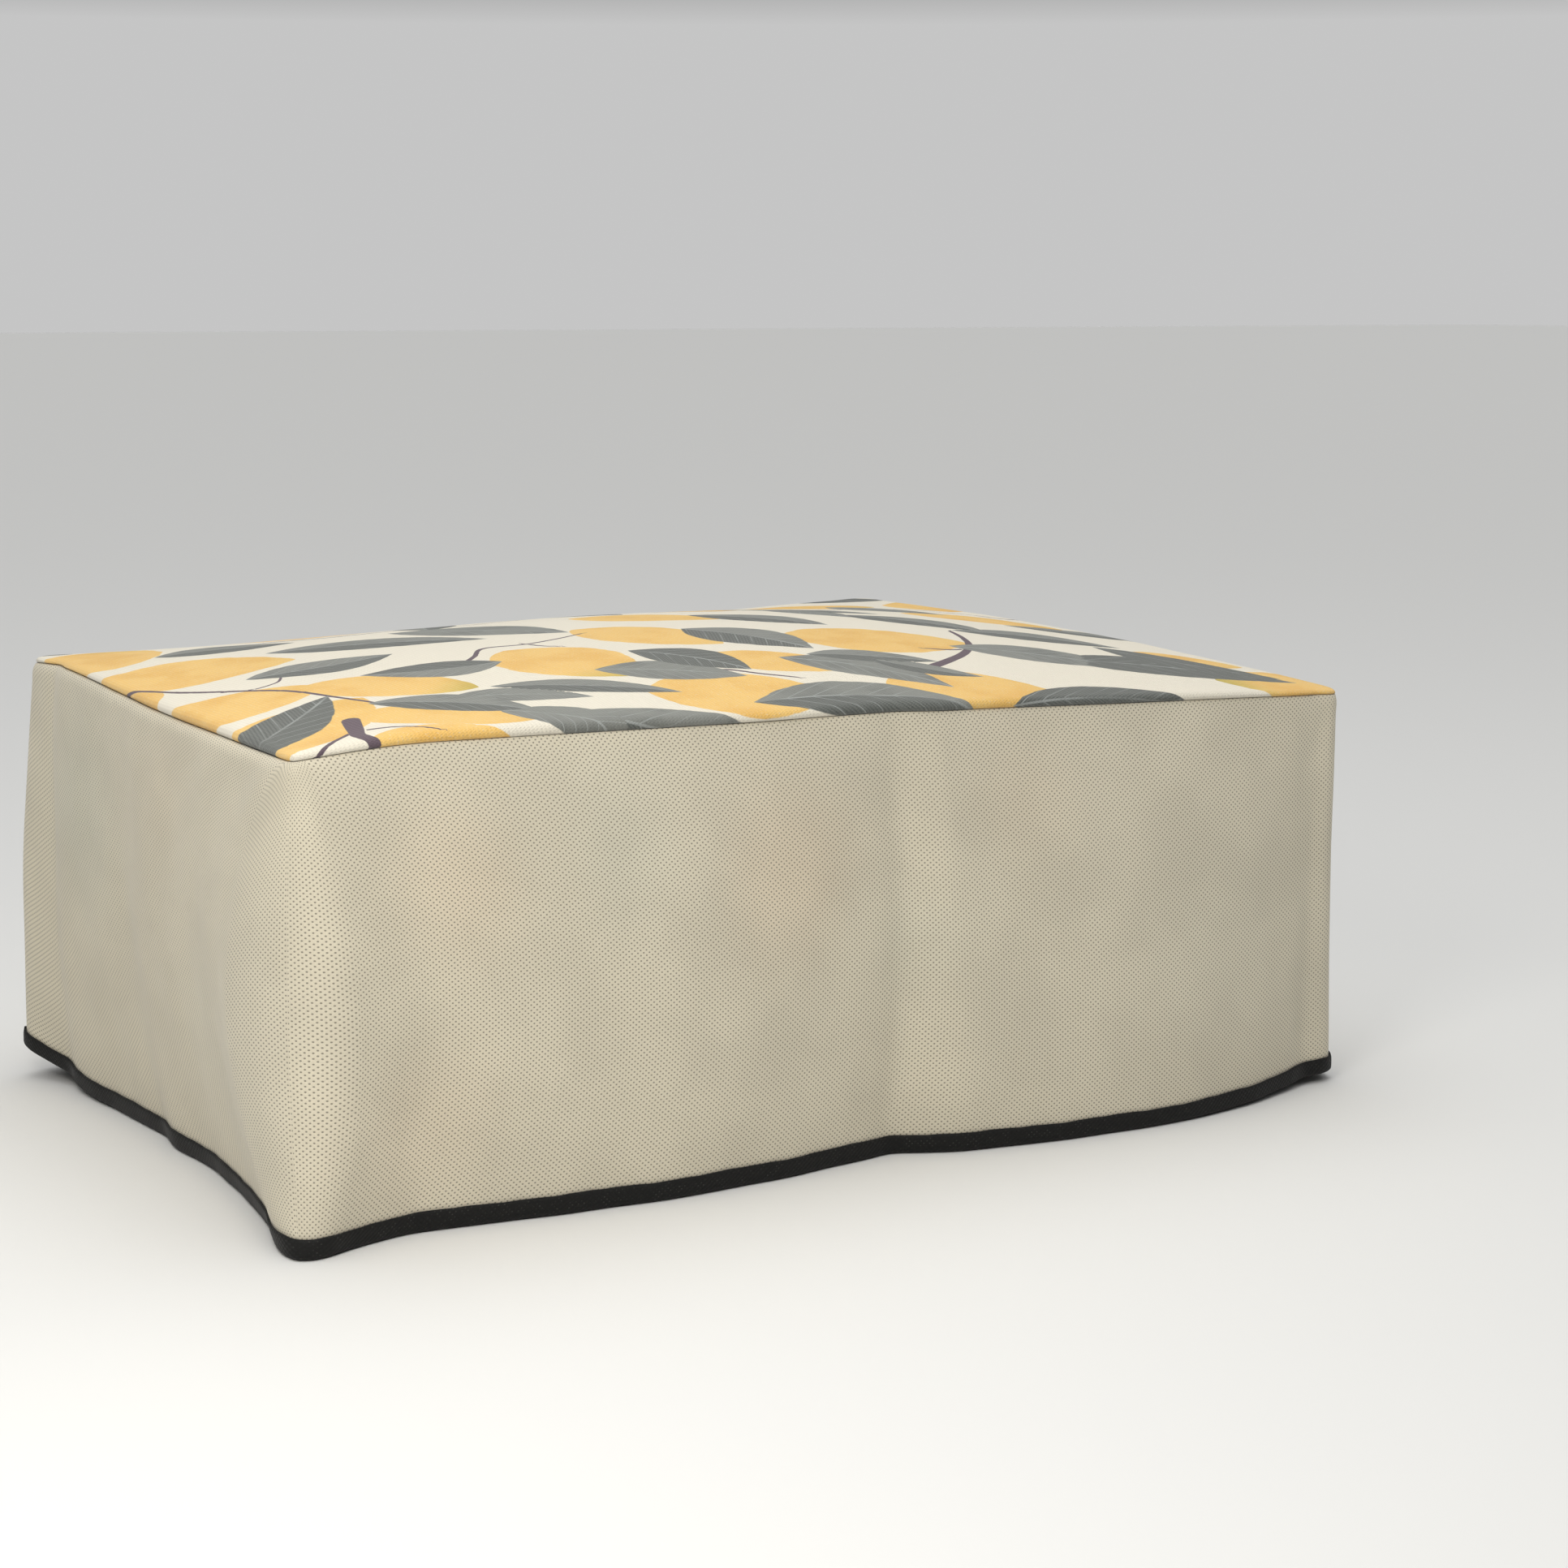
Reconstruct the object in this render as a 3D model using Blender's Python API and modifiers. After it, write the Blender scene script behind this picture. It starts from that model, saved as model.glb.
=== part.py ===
"""Fitted dust cover for a desktop printer: a printed top panel, a one-piece wall and a bound hem.

The cover hangs from the top of the printer, which is left out. The origin is the point of the
printer's top under the middle of the panel; +X is the cover's right, +Y its back, +Z up.
Tables are in millimetres above the hem line, and everything else is in metres.
"""
from collections import namedtuple

import bpy
import numpy as np

MM = 0.001
COVER_NAME = "printer_cover"

# Driving sizes of the sewn cover
TOTAL_HEIGHT = 0.197          # hem line to the crown of the top panel
CLOTH_THICKNESS = 0.0012
BINDING_THICKNESS = 0.0010
BINDING_HEIGHT = 0.0076       # width of the folded band that shows
PIECE_GAP = 0.0004            # clearance between two sewn pieces
SEAM_TURN_IN = 0.0014         # how far both cloths turn inwards at the top seam
SEAM_TURN_HEIGHT = 0.0035     # height of the wall that turns inwards
PRINTER_TOP = TOTAL_HEIGHT - CLOTH_THICKNESS
WALL_HEIGHT = 0.177           # hem line to the top seam, on average
BAND_SHARE = BINDING_HEIGHT / WALL_HEIGHT

# Facets
CORNER_STEPS = 3              # on each half of a rounded corner
LONG_STEPS = 32               # along the straight stretch of the front and the back
SHORT_STEPS = 18              # along the straight stretch of the two ends
WALL_STEPS = 7                # lines of the wall between the hem and its turned-in edge

# Corners of the three level lines that the wall passes through, going round from the near left.
# reach_in and reach_out are how far the rounding runs on the side before and the side after.
Corner = namedtuple("Corner", "x y reach_in reach_out")
SEAM_CORNERS = (
    Corner(-229, -150, 17, 15),
    Corner(240, -160, 14, 14),
    Corner(208, 161, 18, 18),
    Corner(-224, 152, 14, 14),
)
MIDDLE_CORNERS = (
    Corner(-233, -152, 60, 28),
    Corner(245, -157, 16, 24),
    Corner(214, 164, 30, 30),
    Corner(-232, 154, 16, 16),
)
HEM_CORNERS = (
    Corner(-232, -150, 24, 18),
    Corner(250, -151, 14, 18),
    Corner(216, 163, 24, 24),
    Corner(-234, 156, 14, 14),
)

# One row for each swell, hollow or droop along a side, by its share of the side's length.
# hem_out: how far the hem stands out; hem_lift: how far it rises; belly: swell at mid height;
# seam: height of the top seam; rim: rise of the printed cloth over the seam.
Row = namedtuple("Row", "along hem_out hem_lift belly seam rim")
SIDE_ROWS = {
    "front": (
        Row(0.00, 0.0, 0.0, 0.0, 176.5, 2.6),
        Row(0.04, -7.5, 0.0, -0.5, 178.2, 3.4),
        Row(0.09, -11.4, 0.0, -1.0, 179.6, 4.4),
        Row(0.16, -8.9, 0.0, -0.5, 179.4, 4.8),
        Row(0.23, -4.4, 0.0, 0.5, 178.8, 4.8),
        Row(0.32, -0.9, 0.0, 1.5, 178.0, 4.6),
        Row(0.40, -0.7, 0.0, 1.0, 177.4, 4.6),
        Row(0.47, -3.9, 0.0, -0.5, 177.2, 4.8),
        Row(0.53, -4.1, 0.0, -1.0, 176.8, 4.8),
        Row(0.58, 3.6, 0.0, 1.5, 175.8, 4.6),
        Row(0.65, 11.4, 0.0, 2.5, 174.6, 4.4),
        Row(0.73, 16.3, 0.0, 3.0, 173.2, 4.2),
        Row(0.81, 16.6, 0.3, 3.0, 172.0, 3.8),
        Row(0.88, 11.6, 1.0, 2.0, 170.9, 3.2),
        Row(0.95, 3.6, 2.6, 0.0, 169.6, 2.4),
        Row(1.00, 0.0, 4.0, 0.0, 168.6, 1.8),
    ),
    "right": (
        Row(0.00, 0.0, 4.0, 0.0, 168.6, 1.8),
        Row(0.08, 2.0, 3.4, 1.0, 170.2, 2.6),
        Row(0.22, 6.0, 2.2, 3.0, 172.6, 3.6),
        Row(0.38, 8.0, 1.4, 4.0, 175.4, 4.2),
        Row(0.52, 3.0, 1.0, 2.0, 177.2, 4.4),
        Row(0.66, -4.0, 0.8, 0.0, 178.6, 4.4),
        Row(0.82, -3.0, 1.2, 1.0, 179.8, 4.0),
        Row(1.00, 0.0, 2.0, 0.0, 180.8, 3.2),
    ),
    "back": (
        Row(0.00, 0.0, 2.0, 0.0, 180.8, 3.2),
        Row(0.10, -4.0, 1.4, 0.5, 179.6, 3.8),
        Row(0.22, 4.0, 0.8, 2.0, 178.2, 4.0),
        Row(0.34, 11.0, 0.6, 3.0, 177.4, 4.0),
        Row(0.46, 7.0, 0.6, 2.0, 177.0, 4.2),
        Row(0.58, -3.0, 0.6, 0.0, 176.8, 4.2),
        Row(0.70, 1.0, 1.0, 1.0, 176.8, 4.2),
        Row(0.84, 7.0, 3.0, 2.0, 177.4, 4.0),
        Row(0.94, 3.0, 9.0, 1.0, 178.8, 3.4),
        Row(1.00, 0.0, 14.0, 0.0, 179.6, 2.6),
    ),
    "left": (
        Row(0.00, 0.0, 14.0, 0.0, 179.6, 2.6),
        Row(0.05, -8.0, 8.5, 0.5, 180.8, 2.0),
        Row(0.14, -13.0, 2.4, 1.0, 181.6, 1.8),
        Row(0.26, -16.7, 0.4, 0.0, 180.6, 2.6),
        Row(0.37, -19.2, 0.0, -1.0, 179.0, 3.4),
        Row(0.48, -18.2, 0.0, -0.5, 177.6, 4.0),
        Row(0.59, -19.7, 0.0, -1.0, 176.8, 4.4),
        Row(0.74, -16.7, 0.0, 0.0, 176.4, 4.4),
        Row(0.86, -11.0, 0.0, 1.0, 176.0, 3.8),
        Row(0.95, -4.0, 0.0, 0.5, 176.0, 3.0),
        Row(1.00, 0.0, 0.0, 0.0, 176.5, 2.6),
    ),
}

# Upright creases of the wall, placed where they meet the seam and the hem. A positive depth is a
# ridge and a negative one a trough; top_share is the depth's share that is left at the seam.
Fold = namedtuple("Fold", "side at_seam at_hem width depth top_share")
FOLDS = (
    Fold("front", 0.070, 0.075, 12, -1.6, 0.4),
    Fold("front", 0.330, 0.300, 22, 1.2, 0.3),
    Fold("front", 0.525, 0.520, 9, -2.0, 0.6),
    Fold("front", 0.562, 0.575, 10, 2.2, 0.6),
    Fold("front", 0.960, 0.945, 9, -3.2, 0.7),
    Fold("right", 0.300, 0.340, 14, -2.4, 0.3),
    Fold("right", 0.700, 0.660, 16, 2.0, 0.4),
    Fold("back", 0.300, 0.260, 14, 2.2, 0.4),
    Fold("back", 0.620, 0.600, 12, -2.6, 0.5),
    Fold("left", 0.110, 0.105, 9, -2.2, 0.8),
    Fold("left", 0.420, 0.440, 14, -1.8, 0.2),
)

# Section of the turned rim of the top panel: inset from the seam and share of the rim's rise.
RimRing = namedtuple("RimRing", "inset rise_share")
RIM_RINGS = (
    RimRing(SEAM_TURN_IN / MM, 0.0),
    RimRing(0.1, 0.35),
    RimRing(1.2, 0.75),
    RimRing(6.0, 1.0),
)


def smooth_through(knots, values, at):
    """A cubic from each table row to the next, with the slopes of the neighbouring rows."""
    knots = np.asarray(knots, float)
    values = np.asarray(values, float)
    slopes = np.gradient(values, knots)
    left = np.clip(np.searchsorted(knots, at) - 1, 0, len(knots) - 2)
    width = knots[left + 1] - knots[left]
    share = (at - knots[left]) / width
    rise = 3 * share ** 2 - 2 * share ** 3
    leave = share - 2 * share ** 2 + share ** 3
    arrive = share ** 3 - share ** 2
    return (values[left] * (1 - rise) + values[left + 1] * rise
            + width * (leave * slopes[left] + arrive * slopes[left + 1]))


def column_distances(length, reach_start, reach_end, steps):
    """Distances along a side of its columns: half a rounded corner, the straight, half a corner."""
    turn = np.linspace(0.5, 1.0, CORNER_STEPS + 1) ** 2
    straight = np.linspace(reach_start, length - reach_end, steps + 1)
    return np.concatenate((reach_start * turn[:-1], straight, length - reach_end * turn[::-1][1:]))


def pull_to_corner(distance, reach, other_reach):
    """How far a rounded corner pulls a column at this distance from it along its other side."""
    share = np.clip(distance / reach, 0, 1)
    return (other_reach * (1 - np.sqrt(share)) ** 2)[:, None]


def rounded_side(corners, index):
    """Plan points of one side, from the middle of its first corner to the middle of its second.

    A corner is a parabola that leaves its two sides at their reaches. Returned with the points
    are their shares of the side's length and the side's outward direction.
    """
    here, there = corners[index], corners[(index + 1) % 4]
    turns = [np.array((corner.x, corner.y)) for corner in corners]
    ways = [turns[(side + 1) % 4] - turns[side] for side in range(4)]
    length = np.linalg.norm(ways[index])
    before, along, after = [ways[(index + step) % 4] / np.linalg.norm(ways[(index + step) % 4])
                            for step in (-1, 0, 1)]
    steps = LONG_STEPS if index % 2 == 0 else SHORT_STEPS
    distance = column_distances(length, here.reach_out, there.reach_in, steps)
    points = turns[index] + distance[:, None] * along
    points = points - pull_to_corner(distance, here.reach_out, here.reach_in) * before
    points = points + pull_to_corner(length - distance, there.reach_in, there.reach_out) * after
    share = (distance - distance[0]) / (distance[-1] - distance[0])
    outward = np.tile((along[1], -along[0]), (len(points), 1))
    return points, share, outward


class LevelLine:
    """A closed level line round the cover, in metres: four sides with rounded corners."""

    def __init__(self, corners):
        sides = [rounded_side(corners, index) for index in range(4)]
        self.points = np.concatenate([points[:-1] for points, share, outward in sides]) * MM
        self.along = np.concatenate([share[:-1] for points, share, outward in sides])
        self.outward = np.concatenate([outward[:-1] for points, share, outward in sides])
        counts = [len(share) - 1 for points, share, outward in sides]
        self.side = np.repeat(list(SIDE_ROWS), counts)

    def column(self, name):
        """One column of the side tables, read at every column of the line."""
        values = np.zeros(len(self.points))
        for side, rows in SIDE_ROWS.items():
            mask = self.side == side
            knots = [row.along for row in rows]
            heights = [getattr(row, name) for row in rows]
            values[mask] = smooth_through(knots, heights, self.along[mask])
        return values * MM


HEM = LevelLine(HEM_CORNERS)
MIDDLE = LevelLine(MIDDLE_CORNERS)
SEAM = LevelLine(SEAM_CORNERS)


def plan_normals(points):
    """Outward level normals of a closed line that runs anticlockwise."""
    tangent = np.roll(points, -1, axis=0) - np.roll(points, 1, axis=0)
    normal = np.column_stack((tangent[:, 1], -tangent[:, 0]))
    return normal / np.linalg.norm(normal, axis=1)[:, None]


def fold_depth(share):
    """Outward push of the upright creases at one height, share 0 at the hem and 1 at the seam."""
    push = np.zeros(len(SEAM.points))
    for fold in FOLDS:
        mask = SEAM.side == fold.side
        centre = fold.at_hem + (fold.at_seam - fold.at_hem) * share
        length = np.ptp(SEAM.points[mask], axis=0).max()
        distance = (SEAM.along[mask] - centre) * length / (fold.width * MM)
        strength = 1 + (fold.top_share - 1) * share
        push[mask] += fold.depth * MM * strength * np.exp(-distance ** 2)
    return push


def wall_line(share):
    """The wall's outer face at one height: a parabola through the hem, middle and seam lines."""
    hem_weight = (1 - share) * (1 - 2 * share)
    middle_weight = 4 * share * (1 - share)
    seam_weight = share * (2 * share - 1)
    plan = hem_weight * HEM.points + middle_weight * MIDDLE.points + seam_weight * SEAM.points
    bow = HEM.column("hem_out") * (1 - share) + MIDDLE.column("belly") * middle_weight
    bow += fold_depth(share)
    plan = plan + bow[:, None] * MIDDLE.outward
    height = HEM.column("hem_lift") * (1 - share) + SEAM.column("seam") * share
    return np.column_stack((plan, height))


def push_out(line, distance):
    """A wall line moved level, outwards for a positive distance."""
    moved = line.copy()
    moved[:, :2] += plan_normals(line[:, :2]) * distance
    return moved


def wall_surface():
    """Lines of the wall from the hem, inside the binding, to its turned-in top edge."""
    hem_share = (BINDING_THICKNESS + PIECE_GAP) / WALL_HEIGHT
    turn_share = 1 - SEAM_TURN_HEIGHT / WALL_HEIGHT
    shares = np.concatenate(((hem_share,), np.linspace(BAND_SHARE, turn_share, WALL_STEPS)))
    lines = [wall_line(share) for share in shares]
    top = push_out(wall_line(1.0), -SEAM_TURN_IN)
    top[:, 2] -= PIECE_GAP / 2
    return lines + [top]


def binding_surface():
    """Lines of the band's outside: up its outer leg, under the hem and up its inner leg."""
    outer = PIECE_GAP + BINDING_THICKNESS
    inner = CLOTH_THICKNESS + PIECE_GAP + BINDING_THICKNESS
    bottom = wall_line(0.0)
    top = wall_line(BAND_SHARE)
    return [
        push_out(top, -inner),
        push_out(bottom, -inner),
        push_out(bottom, outer),
        push_out(top, outer),
    ]


def rim_lines():
    """Lines of the top panel's rim, from its sewn edge to the start of the crowned field."""
    seam = wall_line(1.0)
    rise = SEAM.column("rim")
    lines = []
    for ring in RIM_RINGS:
        line = push_out(seam, -ring.inset * MM)
        line[:, 2] += PIECE_GAP / 2 + rise * ring.rise_share
        lines.append(line)
    return lines


def crowned_field(rim):
    """Grid of the panel inside its rim: a Coons patch between the four sides, and the crown on it.

    The crown rises from 0 at the rim to its full height at the middle as (1 - a^2)(1 - b^2),
    with a and b from -1 to 1 across the panel.
    """
    long_count = LONG_STEPS + 2 * CORNER_STEPS
    short_count = SHORT_STEPS + 2 * CORNER_STEPS
    loop = np.vstack((rim, rim[:1]))
    front = loop[:long_count + 1]
    right = loop[long_count:long_count + short_count + 1]
    back = loop[long_count + short_count:2 * long_count + short_count + 1][::-1]
    left = loop[2 * long_count + short_count:][::-1]
    across = length_shares(front)[None, :, None]
    deep = length_shares(left)[:, None, None]
    field = (1 - deep) * front[None] + deep * back[None]
    field = field + (1 - across) * left[:, None] + across * right[:, None]
    field = field - (1 - deep) * ((1 - across) * front[0] + across * front[-1])
    field = field - deep * ((1 - across) * back[0] + across * back[-1])
    crown = (1 - (2 * across - 1) ** 2) * (1 - (2 * deep - 1) ** 2)
    middle_height = field[short_count // 2, long_count // 2, 2]
    field[:, :, 2] += (TOTAL_HEIGHT - middle_height) * crown[:, :, 0]
    return field


def length_shares(line):
    """Distance along an open line at each of its points, as a share of its length."""
    steps = np.linalg.norm(np.diff(line, axis=0), axis=1)
    distance = np.concatenate(((0.0,), np.cumsum(steps)))
    return distance / distance[-1]


def loop_faces(lines, count):
    """Quads between neighbouring closed lines, wound to face outwards when the lines go up."""
    faces = []
    for line in range(lines - 1):
        for column in range(count):
            beside = (column + 1) % count
            low, high = line * count, (line + 1) * count
            faces.append((low + column, low + beside, high + beside, high + column))
    return faces


def field_faces(rows, columns, first, edge):
    """Quads of the panel's grid; the grid's rim points are those of the last rim line."""
    def number(row, column):
        if (row, column) in edge:
            return edge[(row, column)]
        return first + (row - 1) * (columns - 2) + column - 1

    faces = []
    for row in range(rows - 1):
        for column in range(columns - 1):
            faces.append((number(row, column), number(row, column + 1),
                          number(row + 1, column + 1), number(row + 1, column)))
    return faces


# Colours are linear red, green and blue.
Cloth = namedtuple("Cloth", "name colour roughness thickness")
PRINTED_CLOTH = Cloth("printed woven polyester", (0.72, 0.56, 0.33), 0.75, CLOTH_THICKNESS)
WALL_CLOTH = Cloth("beige spunbond nonwoven", (0.66, 0.60, 0.46), 0.85, CLOTH_THICKNESS)
BAND_CLOTH = Cloth("black nonwoven binding", (0.012, 0.012, 0.011), 0.8, BINDING_THICKNESS)


def cloth_material(cloth):
    """A plain matt cloth."""
    material = bpy.data.materials.new(cloth.name)
    material.use_nodes = True
    shader = material.node_tree.nodes["Principled BSDF"]
    shader.inputs["Base Color"].default_value = (*cloth.colour, 1.0)
    shader.inputs["Roughness"].default_value = cloth.roughness
    shader.inputs["Metallic"].default_value = 0.0
    material.diffuse_color = (*cloth.colour, 1.0)
    return material


def add_sheet(name, points, faces, cloth, collection):
    """An open surface, seen from outside, given its thickness on the inner side."""
    mesh = bpy.data.meshes.new(name)
    placed = np.asarray(points) - np.array((0.0, 0.0, PRINTER_TOP))
    mesh.from_pydata(placed.tolist(), [], faces)
    mesh.materials.append(cloth_material(cloth))
    mesh.shade_smooth()
    sheet = bpy.data.objects.new(name, mesh)
    collection.objects.link(sheet)
    solidify = sheet.modifiers.new("cloth thickness", "SOLIDIFY")
    solidify.thickness = cloth.thickness
    solidify.offset = -1.0
    solidify.use_even_offset = True
    return sheet


def make_wall(collection):
    """The nonwoven strip that goes round all four sides."""
    lines = wall_surface()
    faces = loop_faces(len(lines), len(lines[0]))
    return add_sheet("wall_strip", np.vstack(lines), faces, WALL_CLOTH, collection)


def make_binding(collection):
    """The black band folded over the hem."""
    lines = binding_surface()
    faces = loop_faces(len(lines), len(lines[0]))
    return add_sheet("hem_binding", np.vstack(lines), faces, BAND_CLOTH, collection)


def make_panel(collection):
    """The printed top: a turned rim and a crowned field in one piece of cloth."""
    lines = rim_lines()
    count = len(lines[0])
    field = crowned_field(lines[-1])
    rows, columns = field.shape[:2]
    last = (len(lines) - 1) * count
    edge = {}
    for column in range(columns):
        edge[(0, column)] = last + column
        edge[(rows - 1, column)] = last + 2 * (columns - 1) + rows - 1 - column
    for row in range(1, rows - 1):
        edge[(row, columns - 1)] = last + columns - 1 + row
        edge[(row, 0)] = last + 2 * (columns - 1) + 2 * (rows - 1) - row
    points = np.vstack(lines + [field[1:-1, 1:-1].reshape(-1, 3)])
    faces = loop_faces(len(lines), count) + field_faces(rows, columns, len(lines) * count, edge)
    return add_sheet("top_panel", points, faces, PRINTED_CLOTH, collection)


def main():
    for item in list(bpy.data.objects):
        bpy.data.objects.remove(item, do_unlink=True)
    collection = bpy.data.collections.new(COVER_NAME)
    bpy.context.scene.collection.children.link(collection)
    make_wall(collection)
    make_binding(collection)
    make_panel(collection)


main()
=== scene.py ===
"""Looks of a fitted dust cover for a desktop printer, laid out as a Blender add-on.

The cover is three sewn pieces of cloth: a printed canvas top, one strip of beige spunbond
nonwoven round all four sides, and a black nonwoven band folded over the hem. Each is a thin
sheet on the folds of its own solid. Tables are in millimetres, heights above the hem line;
everything that goes into a mesh is in metres.
"""
import math
from collections import namedtuple

import bpy
import numpy as np
from bpy.props import FloatProperty, FloatVectorProperty, PointerProperty
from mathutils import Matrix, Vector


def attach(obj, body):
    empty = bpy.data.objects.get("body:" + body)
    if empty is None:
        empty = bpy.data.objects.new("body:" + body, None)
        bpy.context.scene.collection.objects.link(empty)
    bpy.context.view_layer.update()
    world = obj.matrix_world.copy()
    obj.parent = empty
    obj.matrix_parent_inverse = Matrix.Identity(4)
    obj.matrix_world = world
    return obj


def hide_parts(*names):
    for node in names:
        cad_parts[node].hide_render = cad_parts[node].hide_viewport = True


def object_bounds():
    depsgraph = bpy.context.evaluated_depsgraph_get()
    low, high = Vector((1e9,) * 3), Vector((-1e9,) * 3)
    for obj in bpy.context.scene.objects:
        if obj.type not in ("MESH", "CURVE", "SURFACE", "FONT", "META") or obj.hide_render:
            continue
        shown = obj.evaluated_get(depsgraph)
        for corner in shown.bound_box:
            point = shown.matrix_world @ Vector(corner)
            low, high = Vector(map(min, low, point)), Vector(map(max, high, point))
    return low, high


bl_info = {
    "name": "Printer cover",
    "version": (1, 0, 0),
    "blender": (4, 5, 0),
    "location": "View3D > Sidebar > Printer cover",
    "description": "Dresses the solids of a fitted printer cover in printed and nonwoven cloth",
    "category": "Object",
}

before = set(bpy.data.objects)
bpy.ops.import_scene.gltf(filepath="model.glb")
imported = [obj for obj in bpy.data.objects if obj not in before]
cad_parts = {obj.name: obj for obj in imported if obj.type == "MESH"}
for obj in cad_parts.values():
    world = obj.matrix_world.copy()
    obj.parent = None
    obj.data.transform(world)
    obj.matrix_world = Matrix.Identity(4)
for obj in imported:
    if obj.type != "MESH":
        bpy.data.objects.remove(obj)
CAD_LOW, CAD_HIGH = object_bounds()

MM = 0.001
TURN = 2 * math.pi
BODY = "root"

# Sizes that the sheets share with the solids, in metres
HEM_LEVEL = CAD_LOW.z
TOTAL_HEIGHT = CAD_HIGH.z - CAD_LOW.z
WALL_HEIGHT = 0.177           # hem line to the top seam, on average
SHEET_GAP = 0.0001            # left between the two cloths at the top seam
BAND_HEIGHT = 0.0076          # width of the folded band that shows
BAND_OUT = 0.0014             # how far the band stands out from the wall's face
BAND_IN = 0.0026              # how far its inner leg stands in from that face
SEAM_TURN_HEIGHT = 0.0050     # over which the wall turns inwards to the top seam

# Facets
CORNER_STEPS = 8              # on each half of a rounded corner
LONG_STEPS = 200              # along the straight stretch of the front and the back
SHORT_STEPS = 136             # along the straight stretch of the two ends
WALL_LINES = 52
RIM_LINES = 9

# Corners of the three level lines that the wall passes through, going round from the near left.
# reach_in and reach_out are how far the rounding runs on the side before and the side after.
Corner = namedtuple("Corner", "x y reach_in reach_out")
SEAM_CORNERS = (
    Corner(-229, -150, 9, 7),
    Corner(240, -160, 14, 14),
    Corner(208, 161, 18, 18),
    Corner(-224, 152, 14, 14),
)
MIDDLE_CORNERS = (
    Corner(-233, -152, 60, 28),
    Corner(245, -157, 16, 24),
    Corner(214, 164, 30, 30),
    Corner(-232, 154, 16, 16),
)
HEM_CORNERS = (
    Corner(-232, -150, 24, 18),
    Corner(250, -151, 14, 18),
    Corner(216, 163, 24, 24),
    Corner(-234, 156, 14, 14),
)

# One row for each swell, hollow or droop along a side, by its share of the side's length.
# hem_out: how far the hem stands out; hem_lift: how far it rises; belly: swell at mid height;
# seam: height of the top seam; rim: rise of the printed cloth over the seam.
Row = namedtuple("Row", "along hem_out hem_lift belly seam rim")
SIDE_ROWS = {
    "front": (
        Row(0.00, 0.0, 0.0, 0.0, 176.5, 2.6),
        Row(0.04, -7.5, 0.0, -0.5, 178.2, 3.4),
        Row(0.09, -11.4, 0.0, -1.0, 179.6, 4.4),
        Row(0.16, -8.9, 0.0, -0.5, 179.4, 4.8),
        Row(0.23, -4.4, 0.0, 0.5, 178.8, 4.8),
        Row(0.32, -0.9, 0.0, 1.5, 178.0, 4.6),
        Row(0.40, -0.7, 0.0, 1.0, 177.4, 4.6),
        Row(0.47, -3.9, 0.0, -0.5, 177.2, 4.8),
        Row(0.53, -4.1, 0.0, -1.0, 176.8, 4.8),
        Row(0.58, 3.6, 0.0, 1.5, 175.8, 4.6),
        Row(0.65, 11.4, 0.0, 2.5, 174.6, 4.4),
        Row(0.73, 16.3, 0.0, 3.0, 173.2, 4.2),
        Row(0.81, 16.6, 0.3, 3.0, 172.0, 3.8),
        Row(0.88, 11.6, 1.0, 2.0, 170.9, 3.2),
        Row(0.95, 3.6, 2.6, 0.0, 169.6, 2.4),
        Row(1.00, 0.0, 4.0, 0.0, 168.6, 1.8),
    ),
    "right": (
        Row(0.00, 0.0, 4.0, 0.0, 168.6, 1.8),
        Row(0.08, 2.0, 3.4, 1.0, 170.2, 2.6),
        Row(0.22, 6.0, 2.2, 3.0, 172.6, 3.6),
        Row(0.38, 8.0, 1.4, 4.0, 175.4, 4.2),
        Row(0.52, 3.0, 1.0, 2.0, 177.2, 4.4),
        Row(0.66, -4.0, 0.8, 0.0, 178.6, 4.4),
        Row(0.82, -3.0, 1.2, 1.0, 179.8, 4.0),
        Row(1.00, 0.0, 2.0, 0.0, 180.8, 3.2),
    ),
    "back": (
        Row(0.00, 0.0, 2.0, 0.0, 180.8, 3.2),
        Row(0.10, -4.0, 1.4, 0.5, 179.6, 3.8),
        Row(0.22, 4.0, 0.8, 2.0, 178.2, 4.0),
        Row(0.34, 11.0, 0.6, 3.0, 177.4, 4.0),
        Row(0.46, 7.0, 0.6, 2.0, 177.0, 4.2),
        Row(0.58, -3.0, 0.6, 0.0, 176.8, 4.2),
        Row(0.70, 1.0, 1.0, 1.0, 176.8, 4.2),
        Row(0.84, 7.0, 3.0, 2.0, 177.4, 4.0),
        Row(0.94, 3.0, 9.0, 1.0, 178.8, 3.4),
        Row(1.00, 0.0, 14.0, 0.0, 179.6, 2.6),
    ),
    "left": (
        Row(0.00, 0.0, 14.0, 0.0, 179.6, 2.6),
        Row(0.05, -8.0, 8.5, 0.5, 180.8, 2.0),
        Row(0.14, -13.0, 2.4, 1.0, 181.6, 1.8),
        Row(0.26, -16.7, 0.4, 0.0, 180.6, 2.6),
        Row(0.37, -19.2, 0.0, -1.0, 179.0, 3.4),
        Row(0.48, -18.2, 0.0, -0.5, 177.6, 4.0),
        Row(0.59, -19.7, 0.0, -1.0, 176.8, 4.4),
        Row(0.74, -16.7, 0.0, 0.0, 176.4, 4.4),
        Row(0.86, -11.0, 0.0, 1.0, 176.0, 3.8),
        Row(0.95, -4.0, 0.0, 0.5, 176.0, 3.0),
        Row(1.00, 0.0, 0.0, 0.0, 176.5, 2.6),
    ),
}

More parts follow.
